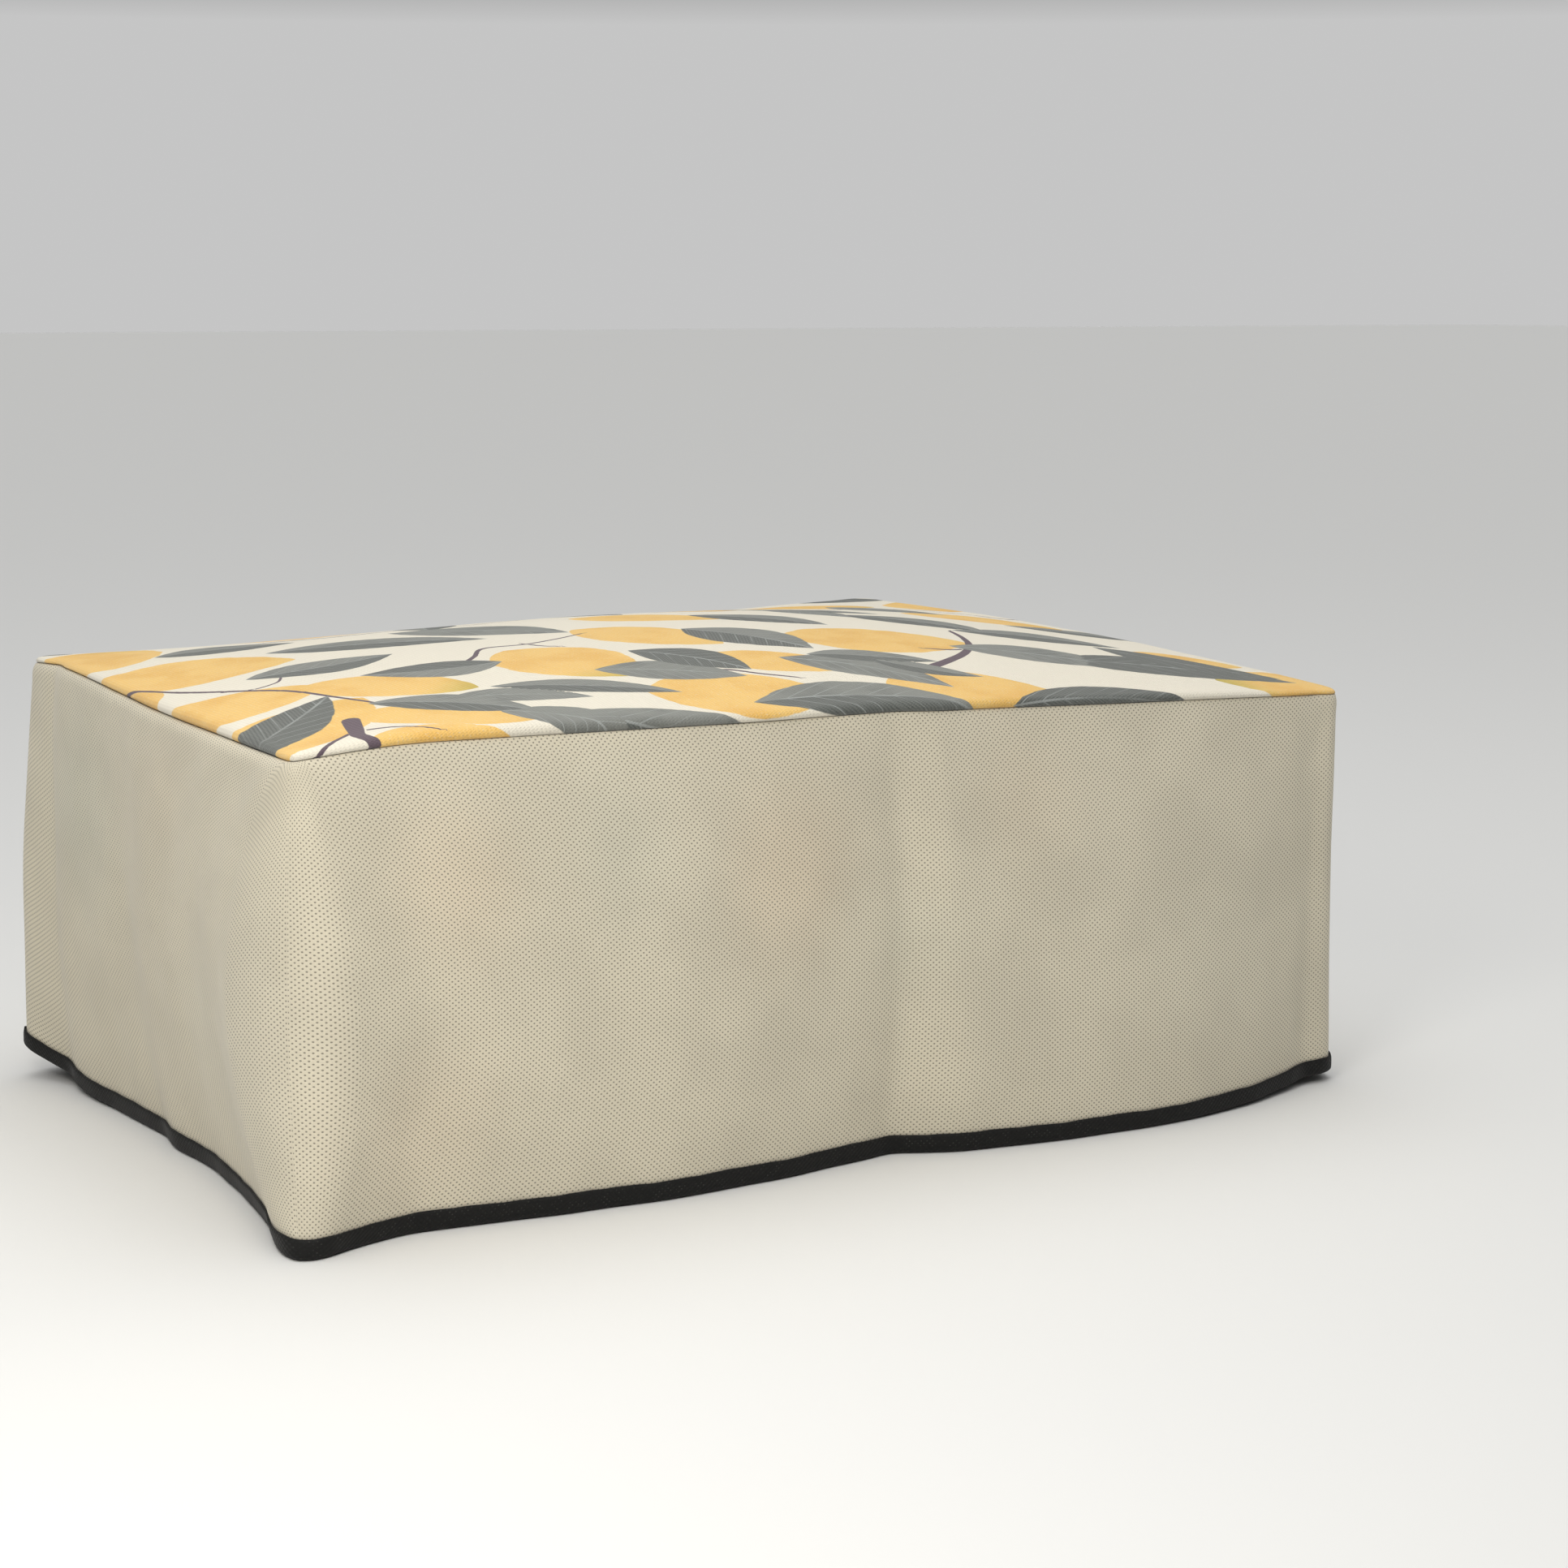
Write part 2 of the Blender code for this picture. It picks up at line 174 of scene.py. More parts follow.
# Upright creases of the wall, placed where they meet the seam and the hem. A positive depth is a
# ridge and a negative one a trough; top_share is the depth's share that is left at the seam.
Fold = namedtuple("Fold", "side at_seam at_hem width depth top_share")
FOLDS = (
    Fold("front", 0.070, 0.075, 12, -1.6, 0.4),
    Fold("front", 0.330, 0.300, 22, 1.2, 0.3),
    Fold("front", 0.519, 0.514, 8, -1.8, 0.7),
    Fold("front", 0.560, 0.572, 14, 1.9, 0.7),
    Fold("front", 0.974, 0.960, 8, -2.4, 0.8),
    Fold("right", 0.300, 0.340, 14, -2.4, 0.3),
    Fold("right", 0.700, 0.660, 16, 2.0, 0.4),
    Fold("back", 0.300, 0.260, 14, 2.2, 0.4),
    Fold("back", 0.620, 0.600, 12, -2.6, 0.5),
    Fold("left", 0.110, 0.105, 9, -2.2, 0.8),
    Fold("left", 0.420, 0.440, 14, -1.8, 0.2),
)

# Fine pulls of the wall, each from one place on a side to another, fading towards its end:
# share of the side's length and height in mm, then half width and depth in mm.
Pull = namedtuple("Pull", "side along height end_along end_height width depth")
PULLS = (
    Pull("front", 0.985, 168, 0.940, 120, 5, -0.9),
    Pull("front", 0.972, 170, 0.952, 60, 4, 0.7),
    Pull("front", 0.030, 172, 0.090, 118, 9, 0.8),
    Pull("front", 0.560, 176, 0.556, 60, 4, 0.6),
    Pull("front", 0.235, 20, 0.205, 120, 14, -0.6),
    Pull("front", 0.700, 176, 0.730, 90, 12, -0.6),
    Pull("left", 0.960, 172, 0.900, 110, 10, 0.9),
    Pull("left", 0.108, 178, 0.106, 20, 3, -0.6),
    Pull("left", 0.620, 20, 0.560, 130, 14, 0.7),
    Pull("right", 0.020, 168, 0.080, 110, 6, -0.8),
    Pull("right", 0.550, 176, 0.500, 70, 10, 0.8),
    Pull("back", 0.040, 178, 0.100, 120, 8, 0.8),
    Pull("back", 0.780, 176, 0.740, 70, 10, -0.8),
)

# Slack ripples of the wall: whole waves round the cover, waves from hem to seam, depth in mm
# and phase in turns.
Ripple = namedtuple("Ripple", "around up depth phase")
RIPPLES = (
    Ripple(17, 1.1, 0.30, 0.11),
    Ripple(31, -1.7, 0.20, 0.37),
    Ripple(53, 2.6, 0.10, 0.72),
)

# Where the printed cloth bulges and rolls down over the seam: place, half width, mm out and down.
Roll = namedtuple("Roll", "side along width out down")
ROLLS = (
    Roll("front", 0.400, 26, 1.3, 0.9),
    Roll("front", 0.545, 34, 0.8, 0.5),
    Roll("front", 0.140, 60, 0.5, 0.3),
    Roll("front", 0.800, 70, 0.4, 0.2),
    Roll("right", 0.450, 50, 0.8, 0.5),
    Roll("back", 0.300, 40, 1.0, 0.6),
    Roll("back", 0.700, 60, 0.7, 0.4),
    Roll("left", 0.550, 60, 0.4, 0.2),
)

# How far both cloths turn inwards at the top seam, by the share of each side's length.
SHOULDERS = {
    "front": ((0.0, 2.2), (0.03, 1.6), (0.08, 0.9), (0.9, 0.8), (1.0, 1.2)),
    "right": ((0.0, 1.2), (0.5, 1.4), (1.0, 1.4)),
    "back": ((0.0, 1.4), (0.5, 1.4), (1.0, 1.6)),
    "left": ((0.0, 1.6), (0.1, 3.0), (0.5, 4.0), (0.93, 4.0), (1.0, 2.2)),
}
# Section of the turned rim of the printed top: inset from its sewn edge and share of its rise.
RimPoint = namedtuple("RimPoint", "place inset rise_share")
RIM_SECTION = (
    RimPoint(0.00, 0.0, 0.00),
    RimPoint(0.25, -1.0, 0.28),
    RimPoint(0.55, 0.1, 0.75),
    RimPoint(1.00, 4.8, 1.00),
)

# The print, drawn for this cover. Places and sizes in mm on the panel, angles in degrees from +X.
# A lemon's green is the share of olive at its tip; a leaf's bend is the bow of its midrib as a
# share of its length, and its tone is 0 for a plain leaf, 1 for one with a hatched half and 2 for
# a dark one. The second layer of leaves lies over the first.
Lemon = namedtuple("Lemon", "x y length width angle green")
LEMONS = (
    Lemon(-206, 110, 80, 54, 60, 0.3),
    Lemon(-194, 34, 82, 60, -22, 0.1),
    Lemon(-232, 4, 46, 30, 44, 0.1),
    Lemon(-212, -50, 78, 52, -6, 0.1),
    Lemon(-156, -70, 70, 44, -38, 0.9),
    Lemon(-212, -112, 94, 56, 34, 0.1),
    Lemon(-160, -128, 68, 34, -30, 0.1),
    Lemon(-168, -160, 66, 36, -18, 0.1),
    Lemon(-78, -64, 70, 56, -72, 0.8),
    Lemon(-22, -27, 74, 44, -62, 0.1),
    Lemon(0, -94, 64, 34, -30, 0.1),
    Lemon(-38, -130, 74, 56, -18, 0.1),
    Lemon(60, -144, 74, 56, -16, 0.1),
    Lemon(84, -176, 86, 32, 2, 0.1),
    Lemon(68, -60, 82, 58, -14, 0.1),
    Lemon(10, 32, 68, 42, -40, 0.2),
    Lemon(222, -146, 76, 56, 170, 1.0),
    Lemon(182, 24, 76, 46, -42, 0.2),
    Lemon(204, -96, 50, 34, -30, 0.2),
    Lemon(-112, 116, 72, 52, -14, 0.3),
    Lemon(-36, 122, 72, 54, -60, 0.6),
    Lemon(66, 98, 74, 52, 84, 0.2),
    Lemon(140, 112, 72, 50, -20, 0.4),
    Lemon(206, 104, 60, 44, 70, 0.2),
)
Leaf = namedtuple("Leaf", "x y length width angle bend tone")
LEAVES = (
    Leaf(-162, 80, 60, 32, -12, 0.05, 1),
    Leaf(-156, -6, 64, 34, 2, -0.08, 1),
    Leaf(-118, 26, 92, 34, -28, 0.06, 1),
    Leaf(-128, -48, 58, 32, 172, 0.08, 1),
    Leaf(-216, -102, 92, 34, 40, -0.05, 2),
    Leaf(-122, -112, 56, 22, -18, 0.08, 0),
    Leaf(-92, -108, 74, 20, -26, 0.05, 1),
    Leaf(-84, -152, 90, 34, -16, -0.06, 1),
    Leaf(-50, -97, 60, 30, -28, 0.06, 0),
    Leaf(13, -48, 66, 42, -64, 0.04, 1),
    Leaf(28, -114, 72, 32, -46, 0.08, 0),
    Leaf(6, -152, 96, 36, -12, 0.08, 1),
    Leaf(52, 8, 68, 36, -56, 0.05, 1),
    Leaf(122, -8, 80, 34, -64, 0.05, 1),
    Leaf(128, -98, 82, 32, -34, 0.06, 0),
    Leaf(156, -54, 76, 30, -28, 0.06, 1),
    Leaf(176, -122, 110, 38, -24, 0.06, 2),
    Leaf(114, -162, 92, 28, -4, 0.05, 2),
    Leaf(-222, 158, 44, 22, 140, 0.0, 2),
    Leaf(-232, -168, 40, 12, 62, 0.05, 2),
    Leaf(-62, 88, 66, 28, 60, 0.08, 1),
    Leaf(-160, 144, 62, 26, -10, 0.08, 1),
    Leaf(-72, 152, 62, 24, 12, -0.08, 2),
    Leaf(10, 92, 70, 28, 96, 0.06, 1),
    Leaf(30, 146, 66, 26, -14, 0.06, 0),
    Leaf(104, 56, 76, 30, -40, 0.08, 1),
    Leaf(164, 76, 70, 28, -66, -0.08, 0),
    Leaf(206, -20, 72, 28, -30, 0.06, 1),
    Leaf(92, 150, 56, 22, 20, 0.06, 1),
    Leaf(184, 150, 54, 24, -24, 0.06, 2),
)
LEAVES_OVER = (
    Leaf(-70, 32, 86, 40, -52, 0.06, 0),
    Leaf(-150, -116, 66, 28, -36, 0.08, 1),
    Leaf(-120, -150, 60, 28, -48, 0.10, 0),
    Leaf(-32, -80, 56, 30, -58, 0.06, 2),
    Leaf(44, -95, 56, 22, -18, 0.06, 1),
    Leaf(58, -110, 50, 18, -44, -0.08, 1),
    Leaf(198, -104, 84, 30, -52, -0.06, 2),
    Leaf(-200, -166, 44, 16, 24, 0.05, 2),
    Leaf(96, 40, 60, 26, -78, 0.06, 0),
    Leaf(-132, 156, 48, 20, 30, 0.06, 0),
)
# Half width of a lemon and of a leaf at each share s of its half length:
# (1 - |s|^power)^roundness (1 - lean s)
Outline = namedtuple("Outline", "power roundness lean")
LEMON_OUTLINE = Outline(2.0, 0.72, 0.14)
LEAF_OUTLINE = Outline(2.0, 1.0, 0.22)
HATCH_PITCH = 0.05            # of a leaf's hatching, as a share of its half length
SIDE_VEIN_PITCH = 0.23        # of its side veins
# A twig is a smooth line through its points, tapering between its two widths.
Twig = namedtuple("Twig", "start_width end_width points")
TWIGS = (
    Twig(2.6, 1.6, ((-240, 44), (-222, 22), (-206, -10), (-188, -46), (-180, -78), (-170, -106))),
    Twig(1.8, 1.0, ((-202, -20), (-192, -30), (-184, -28), (-176, -16))),
    Twig(1.2, 2.4, ((-42, -8), (-58, -16), (-74, -21), (-92, -20), (-104, -36), (-116, -50))),
    Twig(1.6, 1.2, ((-74, -20), (-70, -30), (-66, -34))),
    Twig(3.4, 7.0, ((-204, -164), (-197, -152), (-199, -142), (-196, -132), (-191, -116))),
    Twig(1.2, 2.2, ((-240, -174), (-222, -156), (-210, -144), (-198, -134))),
    Twig(2.0, 1.0, ((-196, -134), (-184, -138), (-172, -148))),
    Twig(2.0, 1.2, ((-32, -98), (-26, -101), (-18, -109), (-6, -118))),
    Twig(2.0, 5.0, ((120, -40), (114, -58), (106, -74), (92, -90), (76, -102), (60, -112))),
    Twig(2.2, 1.4, ((100, -82), (90, -83), (80, -80))),
    Twig(1.8, 1.4, ((106, -74), (110, -86), (112, -94))),
    Twig(2.4, 1.4, ((-140, 92), (-112, 80), (-82, 84), (-52, 76), (-24, 84))),
    Twig(2.4, 1.4, ((40, 76), (62, 66), (88, 74), (120, 68), (150, 84), (190, 74))),
    Twig(2.2, 1.2, ((228, 48), (212, 42), (200, 60), (186, 64))),
)
TWIG_STEP = 1.0               # between the points that a twig's line is read at
TWIG_REACH = 60.0             # stands for far away from any twig

# Soft stains of the wall: side, share of its length, height, radius in mm and strength;
# positive is warmer and pinkish, negative cooler and greenish.
Stain = namedtuple("Stain", "side along height radius strength")
STAINS = (
    Stain("front", 0.115, 130, 34, 0.8),
    Stain("front", 0.400, 120, 40, 0.9),
    Stain("front", 0.250, 135, 38, -0.6),
    Stain("front", 0.520, 90, 30, -0.5),
    Stain("front", 0.640, 140, 34, 0.5),
    Stain("front", 0.080, 40, 36, 0.6),
    Stain("front", 0.850, 70, 60, -0.3),
    Stain("left", 0.250, 130, 50, -0.8),
    Stain("left", 0.600, 150, 40, 0.4),
    Stain("left", 0.780, 60, 40, -0.3),
    Stain("right", 0.400, 90, 60, 0.4),
    Stain("back", 0.500, 100, 70, -0.3),
)


def smooth_through(knots, values, at):
    """A cubic from each table row to the next, with the slopes of the neighbouring rows."""
    knots = np.asarray(knots, float)
    values = np.asarray(values, float)
    slopes = np.gradient(values, knots)
    left = np.clip(np.searchsorted(knots, at) - 1, 0, len(knots) - 2)
    width = knots[left + 1] - knots[left]
    share = (at - knots[left]) / width
    rise = 3 * share ** 2 - 2 * share ** 3
    leave = share - 2 * share ** 2 + share ** 3
    arrive = share ** 3 - share ** 2
    return (values[left] * (1 - rise) + values[left + 1] * rise
            + width * (leave * slopes[left] + arrive * slopes[left + 1]))


def ease(share):
    """0 below 0 and 1 above 1, with 3 s^2 - 2 s^3 between them."""
    share = np.clip(share, 0, 1)
    return share * share * (3 - 2 * share)


def bell(distance):
    """exp(-d^2)."""
    return np.exp(-distance ** 2)


def length_shares(line):
    """Distance along an open line at each of its points, as a share of its length."""
    steps = np.linalg.norm(np.diff(line, axis=0), axis=1)
    distance = np.concatenate(((0.0,), np.cumsum(steps)))
    return distance / distance[-1]


def column_distances(length, reach_start, reach_end, steps):
    """Distances along a side of its columns: half a rounded corner, the straight, half a corner."""
    turn = np.linspace(0.5, 1.0, CORNER_STEPS + 1) ** 2
    straight = np.linspace(reach_start, length - reach_end, steps + 1)
    return np.concatenate((reach_start * turn[:-1], straight, length - reach_end * turn[::-1][1:]))


def pull_to_corner(distance, reach, other_reach):
    """How far a rounded corner pulls a column: other_reach (1 - sqrt(distance / reach))^2."""
    share = np.clip(distance / reach, 0, 1)
    return (other_reach * (1 - np.sqrt(share)) ** 2)[:, None]


def rounded_side(corners, index):
    """Plan points of one side, from the middle of its first corner to the middle of its second.

    A corner is a parabola that leaves its two sides at their reaches. Returned with the points
    are their shares of the side's length, the side's outward direction and its length.
    """
    here, there = corners[index], corners[(index + 1) % 4]
    turns = [np.array((corner.x, corner.y)) for corner in corners]
    ways = [turns[(side + 1) % 4] - turns[side] for side in range(4)]
    length = np.linalg.norm(ways[index])
    before, along, after = [ways[(index + step) % 4] / np.linalg.norm(ways[(index + step) % 4])
                            for step in (-1, 0, 1)]
    steps = LONG_STEPS if index % 2 == 0 else SHORT_STEPS
    distance = column_distances(length, here.reach_out, there.reach_in, steps)
    points = turns[index] + distance[:, None] * along
    points = points - pull_to_corner(distance, here.reach_out, here.reach_in) * before
    points = points + pull_to_corner(length - distance, there.reach_in, there.reach_out) * after
    share = (distance - distance[0]) / (distance[-1] - distance[0])
    outward = np.tile((along[1], -along[0]), (len(points), 1))
    return points, share, outward, length


class LevelLine:
    """A closed level line round the cover, in metres: four sides with rounded corners."""

    def __init__(self, corners):
        sides = [rounded_side(corners, index) for index in range(4)]
        self.points = np.concatenate([side[0][:-1] for side in sides]) * MM
        self.along = np.concatenate([side[1][:-1] for side in sides])
        self.outward = np.concatenate([side[2][:-1] for side in sides])
        counts = [len(side[1]) - 1 for side in sides]
        self.side = np.repeat(list(SIDE_ROWS), counts)
        self.length = np.repeat([side[3] for side in sides], counts)

    def column(self, name):
        """One column of the side tables, read at every column of the line, in metres."""
        values = np.zeros(len(self.points))
        for side, rows in SIDE_ROWS.items():
            mask = self.side == side
            knots = [row.along for row in rows]
            heights = [getattr(row, name) for row in rows]
            values[mask] = smooth_through(knots, heights, self.along[mask])
        return values * MM


HEM = LevelLine(HEM_CORNERS)
MIDDLE = LevelLine(MIDDLE_CORNERS)
SEAM = LevelLine(SEAM_CORNERS)
COLUMNS = len(SEAM.points)


def plan_normals(lines):
    """Outward level normals of closed lines that run anticlockwise, one line in each row."""
    tangent = np.roll(lines[..., :2], -1, axis=-2) - np.roll(lines[..., :2], 1, axis=-2)
    normal = np.stack((tangent[..., 1], -tangent[..., 0]), axis=-1)
    return normal / np.linalg.norm(normal, axis=-1, keepdims=True)


def push_out(lines, distance):
    """Wall lines moved level, outwards for a positive distance in metres."""
    moved = lines.copy()
    moved[..., :2] += plan_normals(lines) * np.asarray(distance)[..., None]
    return moved


def fold_depth(share):
    """Push of the upright creases: depth times exp(-d^2), d the distance over the half width."""
    push = np.zeros((len(share), COLUMNS))
    for fold in FOLDS:
        mask = SEAM.side == fold.side
        centre = fold.at_hem + (fold.at_seam - fold.at_hem) * share
        distance = (SEAM.along[mask] - centre) * SEAM.length[mask] / fold.width
        strength = 1 + (fold.top_share - 1) * share
        push[:, mask] += fold.depth * strength * bell(distance)
    return push * MM


def pull_depth(share):
    """Push of the fine pulls: depth (1 - t) exp(-d^2), d the distance to the pull's line over its
    half width and t the place along it."""
    push = np.zeros((len(share), COLUMNS))
    height = share * WALL_HEIGHT / MM
    for pull in PULLS:
        mask = SEAM.side == pull.side
        length = SEAM.length[mask]
        across = SEAM.along[mask] * length - pull.along * length
        run = (pull.end_along - pull.along) * length
        up, rise = height - pull.height, pull.end_height - pull.height
        place = np.clip((across * run + up * rise) / (run ** 2 + rise ** 2), 0, 1)
        distance = np.hypot(across - place * run, up - place * rise) / pull.width
        push[:, mask] += pull.depth * (1 - place) * bell(distance)
    return push * MM


def ripple_depth(share):
    """Push of the slack ripples: a sum of sines of the place round the cover and the height."""
    around = np.arange(COLUMNS) / COLUMNS
    push = sum(ripple.depth * np.sin(TURN * (ripple.around * around + ripple.up * share + ripple.phase))
               for ripple in RIPPLES)
    return push * MM


def wall_lines(share):
    """Lines of the wall's outer face at these heights, share 0 at the hem and 1 at the seam.

    A parabola through the hem, middle and seam lines, swollen by the side tables, then pushed
    by the creases, and by the pulls and ripples, which die out at the seam.
    """
    share = np.atleast_1d(share)[:, None]
    weights = ((1 - share) * (1 - 2 * share), 4 * share * (1 - share), share * (2 * share - 1))
    plan = sum(weight[..., None] * line.points for weight, line in zip(weights, (HEM, MIDDLE, SEAM)))
    bow = HEM.column("hem_out") * (1 - share) + MIDDLE.column("belly") * weights[1]
    loose = 1 - ease((share - 0.93) / 0.07)
    bow = bow + fold_depth(share) + (pull_depth(share) + ripple_depth(share)) * loose
    plan = plan + bow[..., None] * MIDDLE.outward
    height = HEM.column("hem_lift") * (1 - share) + SEAM.column("seam") * share
    return np.concatenate((plan, height[..., None]), axis=2)


def closed_faces(rows):
    """Quads between neighbouring closed lines of points, facing out when the lines go up."""
    low = np.arange(rows - 1)[:, None] * COLUMNS + np.arange(COLUMNS)
    beside = np.roll(low, -1, axis=1)
    return np.stack((low, beside, beside + COLUMNS, low + COLUMNS), axis=-1).reshape(-1, 4)


def grid_faces(numbers):
    """Quads of an open grid of point numbers."""
    return np.stack((numbers[:-1, :-1], numbers[:-1, 1:], numbers[1:, 1:], numbers[1:, :-1]),
                    axis=-1).reshape(-1, 4)


def face_corners(values):
    """Values of an open grid, one more column than a closed one has, at every face's corners."""
    corners = np.stack((values[:-1, :-1], values[:-1, 1:], values[1:, 1:], values[1:, :-1]), axis=2)
    return corners.reshape(-1, values.shape[-1])


def cloth_places(lines):
    """Flat place of each point of closed lines, in metres: length round the cover, averaged over
    the lines, and length up from the first line. The first column comes again at the end."""
    wrapped = np.concatenate((lines, lines[:, :1]), axis=1)
    around = np.linalg.norm(np.diff(wrapped, axis=1), axis=2).mean(axis=0)
    around = np.concatenate(((0.0,), np.cumsum(around)))
    up = np.linalg.norm(np.diff(wrapped, axis=0), axis=2)
    up = np.concatenate((np.zeros((1, COLUMNS + 1)), np.cumsum(up, axis=0)))
    return np.stack((np.broadcast_to(around, up.shape), up), axis=-1)


def shoulder():
    """How far the top seam stands in from the wall's face at each column, in metres."""
    turn_in = np.zeros(COLUMNS)
    for side, rows in SHOULDERS.items():
        mask = SEAM.side == side
        turn_in[mask] = np.interp(SEAM.along[mask], *np.transpose(rows))
    return turn_in * MM


def wall_surface():
    """Lines of the wall from the hem, inside the band, to its top edge, which turns inwards by
    its shoulder over the last SEAM_TURN_HEIGHT as a quarter of an ellipse."""
    first = (BAND_OUT + 0.2 * MM) / WALL_HEIGHT
    turn = SEAM_TURN_HEIGHT / WALL_HEIGHT
    last = 1 - np.sin(np.linspace(0, math.pi / 2, 8)[1:])
    share = np.concatenate((np.linspace(first, 1 - turn, WALL_LINES - 7), 1 - turn * last))
    lines = wall_lines(share)
    turned = 1 - np.sqrt(1 - np.clip((share - 1 + turn) / turn, 0, 1) ** 2)
    lines = push_out(lines, -shoulder() * turned[:, None])
    lines[-1, :, 2] -= SHEET_GAP / 2
    return lines


def band_surface():
    """Lines of the band's outside: up its outer leg, under the hem and up its inner leg.

    The section is two upright legs joined by half an ellipse. The outer leg leans in to the wall
    at its edge, and both edges wander a little in height, as a cut edge does.
    """
    half, middle = (BAND_OUT + BAND_IN) / 2, (BAND_OUT - BAND_IN) / 2
    round_height = 1.7 * MM
    angle = np.linspace(0, math.pi, 9)
    legs = np.linspace(1, 0, 6)[:-1]
    offset = np.concatenate((np.full(5, -BAND_IN), middle - half * np.cos(angle), np.full(5, BAND_OUT)))
    tall = BAND_HEIGHT - round_height
    height = np.concatenate((round_height + tall * legs, round_height * (1 - np.sin(angle)),
                             round_height + tall * legs[::-1]))
    lean = np.clip((height - 0.6 * BAND_HEIGHT) / (0.4 * BAND_HEIGHT), 0, 1) ** 2
    offset = offset - np.sign(offset) * lean * 0.35 * MM
    lines = wall_lines(height / WALL_HEIGHT)
    lines = push_out(lines, np.broadcast_to(offset[:, None], lines.shape[:2]))
    around = np.arange(COLUMNS) / COLUMNS
    wander = (0.15 * np.sin(TURN * (29 * around + 0.2)) + 0.10 * np.sin(TURN * (83 * around + 0.6))
              + 0.05 * np.sin(TURN * 173 * around)) * MM
    lines[..., 2] += wander * (height / BAND_HEIGHT)[:, None] ** 2
    return lines


def rim_surface():
    """Lines of the printed top's rim, from its sewn edge to the start of the crowned field.

    The section goes smoothly through RIM_SECTION. Where a Roll says so, its middle bulges out
    and down by a bell along the seam times 4 p (1 - p) up the section.
    """
    place = np.linspace(0, 1, RIM_LINES)[:, None]
    to_corner = np.minimum(SEAM.along, 1 - SEAM.along) * SEAM.length
    narrow = 1 - 0.6 * bell(to_corner / 14)
    knots = [point.place for point in RIM_SECTION]
    inset = smooth_through(knots, [point.inset for point in RIM_SECTION], place) * MM
    rise = smooth_through(knots, [point.rise_share for point in RIM_SECTION], place)
    out = np.zeros(COLUMNS)
    down = np.zeros(COLUMNS)
    for roll in ROLLS:
        distance = (SEAM.along - roll.along) * SEAM.length / roll.width
        strength = np.where(SEAM.side == roll.side, bell(distance), 0)
        out += roll.out * MM * strength
        down += roll.down * MM * strength
    swell = 4 * place * (1 - place) * (1 - place)
    seam = np.broadcast_to(wall_lines(1.0), (RIM_LINES, COLUMNS, 3))
    lines = push_out(seam, out * swell - inset * narrow - shoulder())
    lines[..., 2] += SHEET_GAP / 2 + SEAM.column("rim") * rise - down * swell
    return lines


def crowned_field(rim):
    """Grid of the panel inside its rim: a Coons patch between the four sides, and the crown on it.

    The crown rises from 0 at the rim to its full height at the middle as (1 - a^2)(1 - b^2),
    with a and b from -1 to 1 across the panel. Slack waves of up to 0.5 mm ride on it.
    """
    long_count = LONG_STEPS + 2 * CORNER_STEPS
    short_count = SHORT_STEPS + 2 * CORNER_STEPS
    loop = np.vstack((rim, rim[:1]))
    front = loop[:long_count + 1]
    right = loop[long_count:long_count + short_count + 1]
    back = loop[long_count + short_count:2 * long_count + short_count + 1][::-1]
    left = loop[2 * long_count + short_count:][::-1]
    across = length_shares(front)[None, :, None]
    deep = length_shares(left)[:, None, None]
    field = (1 - deep) * front[None] + deep * back[None]
    field = field + (1 - across) * left[:, None] + across * right[:, None]
    field = field - (1 - deep) * ((1 - across) * front[0] + across * front[-1])
    field = field - deep * ((1 - across) * back[0] + across * back[-1])
    crown = ((1 - (2 * across - 1) ** 2) * (1 - (2 * deep - 1) ** 2))[:, :, 0]
    waves = (0.3 * np.sin(TURN * (2.3 * across + 1.1 * deep))
             + 0.2 * np.sin(TURN * (1.7 * deep - 3.1 * across)))
    middle_height = field[short_count // 2, long_count // 2, 2]
    field[:, :, 2] += (TOTAL_HEIGHT - middle_height) * crown
    field[:, :, 2] += waves[:, :, 0] * MM * np.minimum(crown * 3, 1) * (1 - crown)
    return field


def field_numbers(rows, columns, last, first):
    """Point numbers of the field's grid: its edge is the last rim line, its inside is new."""
    numbers = np.empty((rows, columns), int)
    turn = 2 * (columns - 1) + 2 * (rows - 1)
    numbers[0] = last + np.arange(columns)
    numbers[-1] = last + 2 * (columns - 1) + rows - 1 - np.arange(columns)
    inside = np.arange(1, rows - 1)
    numbers[1:-1, -1] = last + columns - 1 + inside
    numbers[1:-1, 0] = last + turn - inside
    numbers[1:-1, 1:-1] = first + np.arange((rows - 2) * (columns - 2)).reshape(rows - 2, -1)
    return numbers


def flat_places(rim, field):
    """Flat place of each point of the top, in metres: its plan place in the field, and out along
    the plan normal by the length of the section on the rim."""
    runs = np.linalg.norm(np.diff(rim, axis=0), axis=2)[::-1]
    away = np.concatenate((np.zeros((1, COLUMNS)), np.cumsum(runs, axis=0)))[::-1]
    edge = rim[-1]
    spread = edge[:, :2] + plan_normals(edge) * away[..., None]
    return np.vstack((spread.reshape(-1, 2), field[1:-1, 1:-1, :2].reshape(-1, 2)))


def motif_frame(places, motif):
    """Places in mm as a motif sees them: along its axis and across its midrib, each from -1 to 1.

    The midrib bows across the axis by bend times length times (1 - share^2).
    """
    angle = math.radians(motif.angle)
    offset = places - (motif.x, motif.y)
    along = offset @ (math.cos(angle), math.sin(angle))
    across = offset @ (-math.sin(angle), math.cos(angle))
    share = along / (motif.length / 2)
    across = across - getattr(motif, "bend", 0) * motif.length * (1 - share ** 2)
    return share, across / (motif.width / 2)


